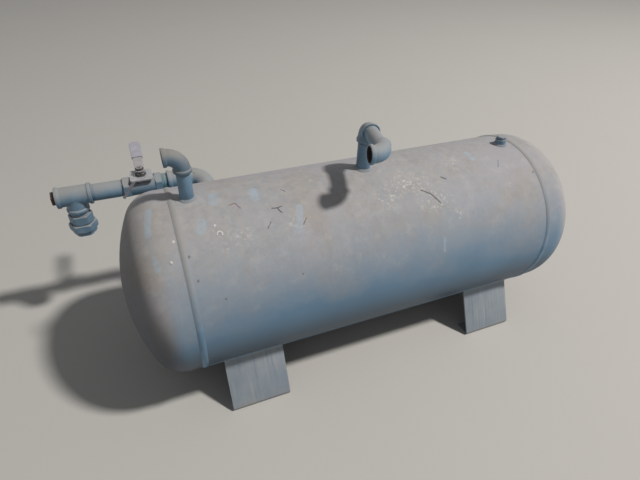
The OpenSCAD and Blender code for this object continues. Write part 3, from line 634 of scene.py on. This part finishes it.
def outward(bm):
    """Merges doubles and turns every face outwards."""
    bmesh.ops.remove_doubles(bm, verts=bm.verts, dist=1e-6)
    bmesh.ops.recalc_face_normals(bm, faces=bm.faces)


def spun(bm, points, steps, matrix=None):
    """Spins a closed section of (radius, height) points round Z, and gives its vertices."""
    verts = [bm.verts.new((r, 0, z)) for r, z in points]
    edges = [bm.edges.new(pair) for pair in zip(verts, verts[1:] + verts[:1])]
    before = set(bm.verts) - set(verts)
    bmesh.ops.spin(bm, geom=verts + edges, cent=(0, 0, 0), axis=(0, 0, 1), angle=math.tau,
                   steps=steps, use_merge=True, use_duplicate=False)
    made = [v for v in bm.verts if v not in before]
    if matrix is not None:
        bmesh.ops.transform(bm, matrix=matrix, verts=made)
    return made


# Depth of a thread as a share of its pitch, and steps round a pipe
THREAD_DEPTH = 0.42
PIPE_STEPS = 72


def thread_section(r, start, end, pitch, depth):
    """Outer points of a thread between two heights: crest and root by turns."""
    turns = max(1, round((end - start) / pitch))
    rise = (end - start) / turns
    points = []
    for i in range(turns):
        z = start + i * rise
        points += [(r - depth, z), (r - depth * 0.9, z + rise * 0.15), (r, z + rise * 0.45),
                   (r, z + rise * 0.6)]
    return points + [(r - depth, end)]


def threaded_pipe(bm, matrix, r, bore, length, low, high, fittings):
    """A pipe along Z with its thread showing above low and below high, where those are set."""
    pitch, show = fittings.thread_pitch, fittings.thread_show
    depth = pitch * THREAD_DEPTH
    points = [(r - 0.001, 0.0), (r - depth, 0.001)]
    if low is not None:
        points += thread_section(r, low - 0.004, low + show, pitch, depth)
        points.append((r, low + show + 0.0012))
    else:
        points.append((r, 0.0025))
    if high is not None:
        points.append((r, high - show - 0.0012))
        points += thread_section(r, high - show, high + 0.004, pitch, depth)
    points += [(r - depth, length - 0.001), (r - 0.001, length), (bore + 0.0006, length),
               (bore, length - 0.0008), (bore, 0.0008), (bore + 0.0006, 0.0)]
    spun(bm, points, PIPE_STEPS, matrix)


def axis_matrix(origin, along):
    """Turns +Z to a direction and moves it to an origin."""
    return Matrix.Translation(Vector(origin)) @ Vector(along).to_track_quat("Z", "Y").to_matrix().to_4x4()


# Steps of a bead's mesh to each ripple
RIPPLE_STEPS = 3


def rippled(verts, place, out, height, pitch):
    """Lifts each vertex along out by crescent ripples; place gives distance along and across."""
    for v in verts:
        along, across = place(v.co)
        wave = math.cos(math.tau * (along / pitch + 0.9 * across * across))
        fade = max(0.0, 1 - across * across)
        v.co += out(v.co) * height * wave * fade


def solid_copy(node):
    """A merged copy of a CAD node's mesh."""
    bm = bmesh.new()
    bm.from_mesh(nodes[node].data)
    bmesh.ops.remove_doubles(bm, verts=bm.verts, dist=2e-6)
    return bm


def cast_copy(name, node, fittings, grain):
    """A CAD solid with its corners rounded as a casting's are."""
    made = piece(name, solid_copy(node), NODE_FINISH[node], (node,), crease=None)
    skin = made.modifiers.new("Cast skin", "REMESH")
    skin.mode = "VOXEL"
    skin.voxel_size = fittings.cast_grain * grain
    skin.use_smooth_shade = True
    soft = made.modifiers.new("Cast rounding", "SMOOTH")
    soft.factor = 0.5
    soft.iterations = fittings.cast_round


def plate_copy(name, node, width, segments=2, body="tank"):
    """A merged CAD solid with its sharp edges broken by a bevel."""
    bm = solid_copy(node)
    bmesh.ops.dissolve_limit(bm, angle_limit=math.radians(0.6), verts=bm.verts, edges=bm.edges)
    made = piece(name, bm, NODE_FINISH[node], (node,), body, PLATE_EDGE)
    edge = made.modifiers.new("Broken edges", "BEVEL")
    edge.width = width
    edge.segments = segments
    edge.limit_method = "ANGLE"
    edge.angle_limit = PLATE_EDGE
    edge.use_clamp_overlap = True
    edge.harden_normals = True


def mouth_thread(bm, matrix, r, depth, pitch):
    """The thread inside an open mouth: a ring of crests from the face at Z 0 down to -depth."""
    rise = pitch * THREAD_DEPTH
    turns = max(1, round((depth - 0.003) / pitch))
    step = (depth - 0.003) / turns
    points = [(r, -0.0012)]
    for i in range(turns):
        z = -0.0015 - i * step
        points += [(r - rise * 0.1, z), (r - rise, z - step * 0.45), (r - rise, z - step * 0.55)]
    end = -0.0015 - turns * step
    points += [(r - rise * 0.1, end), (r, end - 0.0003), (r + 0.0006, end - 0.0003), (r + 0.0006, -0.0012)]
    spun(bm, points, PIPE_STEPS, matrix)


class TankOperator:
    """Shared settings of the tank's operators"""

    bl_options = {"REGISTER", "UNDO"}


class TANK_OT_finishes(TankOperator, bpy.types.Operator):
    """Make every finish and put it on the CAD nodes"""

    bl_idname = "tank.finishes"
    bl_label = "Finishes"

    def execute(self, context):
        paint = context.scene.tank_paint
        for make in (make_dust, make_streaks, make_skin, make_chips, make_spot, make_scratch, make_bore):
            make()
        tank_paint_material(paint)
        fitting_material("Weld paint", paint, shaded(paint.coat, 1.08), 0.6, 0.15, 0.8)
        foot_material(paint)
        bores = open_bores()
        low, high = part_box("inlet_nipple")
        level = middle("inlet_nipple")
        paste = (Vector((low.x, level.y, level.z)), Vector((high.x - 0.012, level.y, level.z)))
        fitting_material("Cast paint", paint, srgb(112, 143, 166), 1.0, 0.3, 0.68, bores, paste)
        # Painted shade: a darker copy of the cast paint, for the left elbow
        fitting_material("Elbow paint in painted shade", paint, srgb(92, 118, 138), 1.0, 0.3, 0.8, bores, paste, 0.78)
        fitting_material("Pipe paint", paint, srgb(114, 147, 172), 0.5, 0.25, 0.68, bores, paste)
        rust_material(paint)
        metal_material("Dull steel", srgb(104, 104, 106), srgb(62, 60, 60), 0.45, 0.7)
        metal_material("Zinc plate", srgb(182, 184, 190), srgb(146, 150, 158), 0.4, 0.5, 90.0)
        metal_material("Bright steel", srgb(205, 206, 208), srgb(180, 182, 185), 0.18, 0.95, 30.0, 0.0)
        metal_material("Lever coat", srgb(150, 150, 156), srgb(128, 128, 134), 0.5, 0.4, 40.0)
        grip_material()
        mottled_material("White plastic", 120.0, srgb(225, 224, 218), srgb(238, 237, 232), 0.35)
        mottled_material("Dried drops", 300.0, srgb(196, 195, 190), srgb(222, 221, 217), 0.9, 500.0)
        for name, finish in NODE_FINISH.items():
            mesh = nodes[name].data
            mesh.materials.clear()
            mesh.materials.append(bpy.data.materials[finish])
        return {"FINISHED"}


def open_bores():
    """Line and radius of the bore behind each open mouth."""
    bores = []
    for node, way, r, depth in MOUTHS:
        face, out = mouth_face(node, way)
        bores.append((face + out * 0.01, face - out * depth * 0.9, r + 0.0008))
    return bores


# CAD nodes of each finish, which the pieces made from them take too
FINISHES = {
    "Tank paint": "shell left_head right_head",
    "Weld paint": "left_girth_weld right_girth_weld seam_weld nozzle_welds",
    "Foot paint": "front_left_foot back_left_foot front_right_foot back_right_foot",
    "Pipe paint": "left_riser middle_riser cross_nipple back_riser back_nipple inlet_nipple run_nipple "
                  "branch_nipple",
    "Elbow paint in painted shade": "left_elbow",
    "Cast paint": "middle_elbow outlet_elbow back_elbow inlet_coupling tee union_top union_nut "
                  "union_bottom right_coupling right_plug drain_coupling valve_body valve_tail",
    "Rusty iron": "tee_plug", "White plastic": "ball_seats", "Bright steel": "ball",
    "Dull steel": "drain_plug stem gland_nut lever_nut",
    "Zinc plate": "stop_plate", "Lever coat": "lever", "Grip sleeve": "lever_grip",
}
NODE_FINISH = {node: finish for finish, names in FINISHES.items() for node in names.split()}


class TANK_OT_girth_welds(TankOperator, bpy.types.Operator):
    """Model the two girth welds as flat rippled caps"""

    bl_idname = "tank.girth_welds"
    bl_label = "Girth Welds"

    def execute(self, context):
        welds = context.scene.tank_welds
        half = welds.cap_width / 2
        crown = [(-0.72, 0.55), (-0.4, 0.88), (0, 1.0), (0.4, 0.88), (0.72, 0.55)]
        section = [(-1, -0.0012), (-0.97, 0.0006)]
        section += [(across, up * welds.cap_height) for across, up in crown]
        section += [(0.97, 0.0006), (1, -0.0012)]
        points = [(TANK_R + rise, across * half) for across, rise in section]
        points += [(TANK_R - 0.003, 0.001), (TANK_R - 0.003, -0.001)]
        count = round(math.tau * TANK_R / welds.ripple_pitch)
        for node in ("left_girth_weld", "right_girth_weld"):
            centre = middle(node)
            bm = bmesh.new()
            turn = Matrix.Translation(centre) @ Matrix.Rotation(math.pi / 2, 4, "Y")
            verts = spun(bm, points, count * RIPPLE_STEPS, turn)

            def place(co):
                angle = math.atan2(co.y, co.z - centre.z)
                return angle * TANK_R, (co.x - centre.x) / half

            def out(co):
                return Vector((0, co.y, co.z - centre.z)).normalized()

            crest = [v for v in verts if math.hypot(v.co.y, v.co.z - centre.z) > TANK_R + 0.0005]
            rippled(crest, place, out, welds.ripple_height, math.tau * TANK_R / count)
            outward(bm)
            piece(node.capitalize().replace("weld", "bead"), bm, "Weld paint", (node,))
        return {"FINISHED"}


class TANK_OT_seam_weld(TankOperator, bpy.types.Operator):
    """Model the long seam weld as a rippled strip"""

    bl_idname = "tank.seam_weld"
    bl_label = "Long Seam Weld"

    def execute(self, context):
        welds = context.scene.tank_welds
        centre = middle("seam_weld")
        low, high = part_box("seam_weld")
        out = Vector((0, centre.y, centre.z - AXIS_Z)).normalized()
        side = Vector((1, 0, 0)).cross(out)
        section = [(-1, -0.3), (-0.85, 0.35), (-0.45, 0.85), (0, 1), (0.45, 0.85), (0.85, 0.35), (1, -0.3)]
        section = [(across * SEAM_HALF, up * SEAM_RISE) for across, up in section]
        bm = bmesh.new()
        start = Vector((low.x, 0, AXIS_Z)) + out * TANK_R
        ripple_bar(bm, start, high.x - low.x, side, out, section, welds)
        outward(bm)
        piece("Long_seam_bead", bm, "Weld paint", ("seam_weld",))
        return {"FINISHED"}


# Pipe or coupling of each nozzle, and its lean from straight up
NOZZLES = [("left_riser", 0.0), ("middle_riser", 0.0), ("right_coupling", 0.0),
           ("back_riser", BACK_TILT), ("drain_coupling", math.pi)]
# Leg of the nozzles' fillet welds and steps of their mesh to each ripple, and the long seam's bead
NOZZLE_LEG = 0.0072
NOZZLE_STEPS = 4
SEAM_HALF = 0.0062
SEAM_RISE = 0.0021


class TANK_OT_nozzle_welds(TankOperator, bpy.types.Operator):
    """Model the fillet welds round the nozzles, which follow the shell's curve"""

    bl_idname = "tank.nozzle_welds"
    bl_label = "Nozzle Welds"

    def execute(self, context):
        welds = context.scene.tank_welds
        bm = bmesh.new()
        for node, tilt in NOZZLES:
            low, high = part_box(node)
            x, r = (low.x + high.x) / 2, (high.x - low.x) / 2
            leg = NOZZLE_LEG
            section = [(r - 0.0012, leg - 0.0006), (r + 0.0005, leg), (r + leg * 0.3, leg * 0.72),
                       (r + leg * 0.6, leg * 0.45), (r + leg * 0.88, leg * 0.14), (r + leg, -0.0012),
                       (r - 0.0012, -0.0012)]
            count = round(math.tau * (r + leg / 2) / welds.ripple_pitch)
            verts = spun(bm, section, count * NOZZLE_STEPS)
            for v in verts:
                angle = math.atan2(v.co.y, v.co.x)
                across = (v.co.x ** 2 + v.co.y ** 2) ** 0.5 - (r + leg * 0.5)
                wave = math.cos(count * angle + 2.0 * (across / leg * 2) ** 2)
                if v.co.z > 0.0005:
                    v.co.z += welds.ripple_height * 1.3 * wave
                    grow = 1 + welds.ripple_height * wave / r
                    v.co.x *= grow
                    v.co.y *= grow
                v.co.z += math.sqrt(TANK_R ** 2 - v.co.y ** 2)
            turn = Matrix.Translation((x, 0, AXIS_Z)) @ Matrix.Rotation(-tilt, 4, "X")
            bmesh.ops.transform(bm, matrix=turn, verts=verts)
        outward(bm)
        piece("Nozzle_beads", bm, "Weld paint", ("nozzle_welds",))
        return {"FINISHED"}


class TANK_OT_pipes(TankOperator, bpy.types.Operator):
    """Model the pipes with the open turns of their threads"""

    bl_idname = "tank.pipes"
    bl_label = "Threaded Pipes"

    def execute(self, context):
        fittings = context.scene.tank_fittings
        ways = {"up": Vector((0, 0, 1)), "right": Vector((1, 0, 0)), "across": cross_direction(),
                "back": Vector((0, math.sin(BACK_TILT), math.cos(BACK_TILT)))}
        for node, way, show in PIPES:
            low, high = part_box(node)
            along = ways[way]
            reach = [v.co.dot(along) for v in nodes[node].data.vertices]
            length = max(reach) - min(reach)
            start = (low + high) / 2 - along * (length / 2)
            r = (high.z - low.z) / 2 if along.x else (high.x - low.x) / 2
            wall, engaged = next((w, e) for top, w, e in PIPE_SIZES if r < top)
            first = engaged if show == "both" else None
            last = length - engaged if show in ("both", "high") else None
            bm = bmesh.new()
            threaded_pipe(bm, axis_matrix(start, along), r, r - wall, length, first, last, fittings)
            outward(bm)
            piece(node.capitalize().replace("_nipple", "") + "_pipe", bm, "Pipe paint", (node,))
        return {"FINISHED"}


# Wall and screwed depth of each size of pipe, up to a radius
PIPE_SIZES = ((0.0230, 0.0036, 0.017), (0.0260, 0.0037, 0.018), (0.0400, 0.0039, 0.019))
# Node of each pipe, its direction, and the end whose thread shows
PIPES = [
    ("left_riser", "up", "high"), ("middle_riser", "up", "high"), ("cross_nipple", "across", "both"),
    ("back_riser", "back", "high"), ("back_nipple", "right", "none"), ("inlet_nipple", "right", "both"),
    ("run_nipple", "right", "both"), ("branch_nipple", "up", "both"),
]


def cross_direction():
    """The level direction from the middle elbow to the outlet elbow."""
    riser = middle("middle_riser")
    way = middle("cross_nipple") - Vector((riser.x, riser.y, middle("cross_nipple").z))
    return way.normalized()


class TANK_OT_castings(TankOperator, bpy.types.Operator):
    """Model the cast fittings with rounded corners"""

    bl_idname = "tank.castings"
    bl_label = "Cast Fittings"

    def execute(self, context):
        for node, name, grain in CASTINGS:
            cast_copy(name, node, context.scene.tank_fittings, grain)
        return {"FINISHED"}


# Node, name and share of the grain of each casting
CASTINGS = [
    ("left_elbow", "Left_elbow_casting", 1.0), ("middle_elbow", "Middle_elbow_casting", 1.0),
    ("outlet_elbow", "Outlet_elbow_casting", 1.0), ("back_elbow", "Back_elbow_casting", 1.15),
    ("inlet_coupling", "Coupling_casting", 1.15), ("tee", "Tee_casting", 1.15),
    ("union_top", "Union_top_casting", 1.0), ("union_nut", "Union_nut_casting", 1.0),
    ("union_bottom", "Union_bottom_casting", 1.0), ("right_plug", "Right_plug_casting", 0.8),
    ("tee_plug", "Tee_plug_casting", 0.9),
]


# The open mouths: fitting, direction of the mouth, radius and depth of its socket
MOUTHS = [("left_elbow", "left", 0.02135, 0.017), ("outlet_elbow", "swung", 0.0243, 0.018),
          ("union_bottom", "down", 0.0303, 0.019)]


class TANK_OT_mouth_threads(TankOperator, bpy.types.Operator):
    """Model the threads inside the open mouths"""

    bl_idname = "tank.mouth_threads"
    bl_label = "Mouth Threads"

    def execute(self, context):
        fittings = context.scene.tank_fittings
        bm = bmesh.new()
        for node, way, r, depth in MOUTHS:
            face, out = mouth_face(node, way)
            mouth_thread(bm, axis_matrix(face, out), r, depth, fittings.thread_pitch)
        outward(bm)
        piece("Mouth_threads", bm, "Pipe paint")
        return {"FINISHED"}


def mouth_face(node, way):
    """Centre and direction of an open mouth, from the points of its face."""
    if way == "left":
        out = Vector((-1, 0, 0))
    elif way == "down":
        out = Vector((0, 0, -1))
    else:
        out = cross_direction().cross(Vector((0, 0, 1)))
    points = [v.co for v in nodes[node].data.vertices]
    reach = max(p.dot(out) for p in points)
    rim = [p for p in points if p.dot(out) > reach - 2e-5]
    low = Vector(min(p[i] for p in rim) for i in range(3))
    high = Vector(max(p[i] for p in rim) for i in range(3))
    return (low + high) / 2, out


class TANK_OT_feet(TankOperator, bpy.types.Operator):
    """Model the feet with broken edges, and the weld beads along their tops"""

    bl_idname = "tank.feet"
    bl_label = "Feet"

    def execute(self, context):
        welds = context.scene.tank_welds
        section = [(-0.0075, -0.0008), (-0.006, 0.0012), (-0.003, 0.0032), (0.0, 0.0042),
                   (0.003, 0.0040), (0.0052, 0.0026), (0.0062, 0.0), (0.0, -0.0025)]
        bm = bmesh.new()
        for node in FINISHES["Foot paint"].split():
            plate_copy(node.capitalize().replace("foot", "plate"), node, 0.0009)
            low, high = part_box(node)
            side = 1 if low.y + high.y > 0 else -1
            # The bead lies where the plate's outer face meets the barrel
            angle = foot_meeting(node, side)
            out = Vector((0, side * math.sin(angle), math.cos(angle)))
            along = Vector((0, side * math.cos(angle), -math.sin(angle)))
            start = Vector((low.x + 0.002, 0, AXIS_Z)) + out * TANK_R
            ripple_bar(bm, start, high.x - low.x - 0.004, along, out, section, welds)
        outward(bm)
        piece("Foot_beads", bm, "Foot paint")
        return {"FINISHED"}


def foot_meeting(node, side):
    """The angle from the top at which a foot's outer face meets the barrel."""
    near = []
    for v in nodes[node].data.vertices:
        reach = math.hypot(v.co.y, v.co.z - AXIS_Z)
        if abs(reach - TANK_R) < 0.0004:
            near.append(math.atan2(side * v.co.y, v.co.z - AXIS_Z))
    return min(near) + 0.006 / TANK_R


def ripple_bar(bm, start, length, across, out, section, welds):
    """A weld bead along X: the section is given across and out, and its skin is rippled."""
    verts = [bm.verts.new(start + across * a + out * u) for a, u in section]
    face = bm.faces.new(verts)
    steps = round(length / welds.ripple_pitch) * RIPPLE_STEPS
    step = Vector((length / steps, 0, 0))
    edges = list(face.edges)
    made = list(verts)
    for _ in range(steps):
        grown = bmesh.ops.extrude_edge_only(bm, edges=edges)["geom"]
        moved = [g for g in grown if isinstance(g, bmesh.types.BMVert)]
        bmesh.ops.translate(bm, verts=moved, vec=step)
        made += moved
        keep = set(moved)
        edges = [g for g in grown if isinstance(g, bmesh.types.BMEdge) and all(v in keep for v in g.verts)]
    bmesh.ops.contextual_create(bm, geom=edges)
    half = max(abs(a) for a, u in section)

    def place(co):
        return co.x, (co - start).dot(across) / half

    crest = [v for v in made if (v.co - start).dot(out) > 0.0002]
    rippled(crest, place, lambda co: out, welds.ripple_height, welds.ripple_pitch)


class TANK_OT_valve(TankOperator, bpy.types.Operator):
    """Model the valve, its lever, the welded couplings and the drain plug with broken edges"""

    bl_idname = "tank.valve"
    bl_label = "Valve"

    def execute(self, context):
        for node, name, width, segments in EDGED_PARTS:
            body = "valve_handle" if node.startswith("lever") else "tank"
            plate_copy(name, node, width, segments, body)
        return {"FINISHED"}


# Node, name, width of the broken edge and its segments
EDGED_PARTS = [
    ("valve_body", "Valve_body_casting", 0.0009, 2), ("valve_tail", "Valve_tail_casting", 0.0009, 2),
    ("gland_nut", "Gland_nut_steel", 0.0004, 2), ("stop_plate", "Stop_plate_steel", 0.0008, 2),
    ("lever", "Lever_steel", 0.0009, 2), ("lever_grip", "Lever_sleeve", 0.0019, 3),
    ("lever_nut", "Lever_nut_steel", 0.0004, 2), ("right_coupling", "Right_coupling_steel", 0.0010, 2),
    ("drain_coupling", "Drain_coupling_steel", 0.0010, 2), ("drain_plug", "Drain_plug_steel", 0.0008, 2),
]


class TANK_OT_dried_drops(TankOperator, bpy.types.Operator):
    """Model the dried pale drops on the left head and barrel"""

    bl_idname = "tank.dried_drops"
    bl_label = "Dried Drops"

    def execute(self, context):
        bm = bmesh.new()
        for place, radius, rise in DROPS:
            place = Vector(place)
            if abs(place.x) > SEAM_X:
                away = Vector((math.copysign(0.45, place.x), place.y, place.z - AXIS_Z))
                out = Vector((away.x * 0.55, away.y, away.z)).normalized()
            else:
                out = Vector((0, place.y, place.z - AXIS_Z)).normalized()
            squash = Matrix.Diagonal((radius, radius * 0.8, rise, 1))
            bmesh.ops.create_icosphere(bm, subdivisions=3, radius=1, matrix=axis_matrix(place, out) @ squash)
        outward(bm)
        piece("Dried_drops", bm, "Dried drops")
        return {"FINISHED"}


# Place, radius and height of each dried drop
DROPS = [
    ((-0.6815, -0.1985, 0.5965), 0.0062, 0.0030),
    ((-0.5400, -0.1560, 0.6285), 0.0021, 0.0008), ((-0.5402, -0.1525, 0.6302), 0.0023, 0.0009),
    ((-0.5385, -0.1495, 0.6318), 0.0025, 0.0010), ((-0.5355, -0.1475, 0.6327), 0.0026, 0.0010),
    ((-0.5320, -0.1472, 0.6328), 0.0026, 0.0010), ((-0.5290, -0.1488, 0.6320), 0.0027, 0.0011),
    ((-0.5268, -0.1515, 0.6307), 0.0028, 0.0012), ((-0.5258, -0.1550, 0.6289), 0.0028, 0.0012),
    ((-0.5262, -0.1585, 0.6270), 0.0026, 0.0010), ((-0.5420, -0.1330, 0.6405), 0.0016, 0.0006),
]


class TANK_OT_stage(TankOperator, bpy.types.Operator):
    """Set up the floor, the soft lamps and the camera"""

    bl_idname = "tank.stage"
    bl_label = "Stage"

    def execute(self, context):
        scene = context.scene
        stage = scene.tank_stage
        bm = bmesh.new()
        bmesh.ops.create_grid(bm, x_segments=8, y_segments=8, size=FLOOR_HALF)
        mesh = bpy.data.meshes.new("Floor")
        bm.to_mesh(mesh)
        bm.free()
        floor_material(stage.floor)
        mesh.materials.append(bpy.data.materials["Pale floor"])
        placed("Floor", mesh)

        scene.world = bpy.data.worlds.new("Soft light")
        scene.world.use_nodes = True
        web = Web(scene.world.node_tree)
        web.tree.nodes.clear()
        ray = web.values(web.node("ShaderNodeLightPath"))
        seen = web.math("MAXIMUM", ray["Is Camera Ray"], ray["Is Glossy Ray"])
        seen = web.math("MAXIMUM", seen, ray["Is Transmission Ray"])
        even = web.value("ShaderNodeBackground", {"Color": (0.93, 0.965, 1.0, 1.0), "Strength": stage.sky})
        white = web.value("ShaderNodeBackground", {"Color": (0.9, 0.9, 0.9, 1.0), "Strength": 1.0})
        both = web.value("ShaderNodeMixShader", {0: seen, 1: even, 2: white})
        web.node("ShaderNodeOutputWorld", {0: both})

        lamp = bpy.data.lights.new("Key", "AREA")
        lamp.shape = "DISK"
        lamp.size = KEY_SIZE
        lamp.energy = stage.key
        lamp.color = (1.0, 0.975, 0.94)
        key = placed("Key", lamp)
        key.location = Vector((0, 0, AXIS_Z)) + KEY_WAY * KEY_AWAY
        key.rotation_mode = "QUATERNION"
        key.rotation_quaternion = KEY_WAY.to_track_quat("Z", "Y")

        lens = bpy.data.cameras.new("Camera")
        lens.sensor_width = 36
        lens.lens = stage.lens
        lens.clip_start = 0.01
        lens.clip_end = 200
        camera = placed("Camera", lens)
        turn = (Matrix.Rotation(-stage.heading, 4, "Z") @ Matrix.Rotation(math.pi / 2 - stage.pitch, 4, "X")
                @ Matrix.Rotation(stage.roll, 4, "Z"))
        camera.matrix_world = Matrix.Translation(stage.eye) @ turn
        scene.camera = camera
        scene.view_settings.view_transform = "Standard"
        return {"FINISHED"}


# Half the floor's width; the key lamp's direction from the tank, distance and size
FLOOR_HALF = 30
KEY_WAY = Vector((0.595, -0.365, 1.0)).normalized()
KEY_AWAY = 14
KEY_SIZE = 1.3


STEPS = ("finishes", "girth_welds", "seam_weld", "nozzle_welds", "pipes", "castings", "mouth_threads",
         "feet", "valve", "dried_drops", "stage")


class TANK_PT_panel(bpy.types.Panel):
    """The tank's operators and sizes"""

    bl_idname = "TANK_PT_panel"
    bl_label = "Pressure Tank"
    bl_space_type = "VIEW_3D"
    bl_region_type = "UI"
    bl_category = "Tank"

    def draw(self, context):
        layout = self.layout
        for step in STEPS:
            layout.operator("tank." + step)
        for name in ("tank_paint", "tank_welds", "tank_fittings", "tank_stage"):
            settings = getattr(context.scene, name)
            box = layout.box()
            for key in type(settings).__annotations__:
                box.prop(settings, key)


GROUPS = {"tank_paint": TankPaint, "tank_welds": TankWelds, "tank_fittings": TankFittings,
          "tank_stage": TankStage}
CLASSES = (TankPaint, TankWelds, TankFittings, TankStage, TANK_OT_finishes, TANK_OT_girth_welds,
           TANK_OT_seam_weld, TANK_OT_nozzle_welds, TANK_OT_pipes, TANK_OT_castings, TANK_OT_mouth_threads,
           TANK_OT_feet, TANK_OT_valve, TANK_OT_dried_drops, TANK_OT_stage, TANK_PT_panel)


def register():
    for made in CLASSES:
        bpy.utils.register_class(made)
    for name, kind in GROUPS.items():
        setattr(bpy.types.Scene, name, PointerProperty(type=kind))


def unregister():
    for name in GROUPS:
        delattr(bpy.types.Scene, name)
    for made in reversed(CLASSES):
        bpy.utils.unregister_class(made)


def main():
    register()
    for step in STEPS:
        getattr(bpy.ops.tank, step)()


if __name__ == "__main__":
    main()
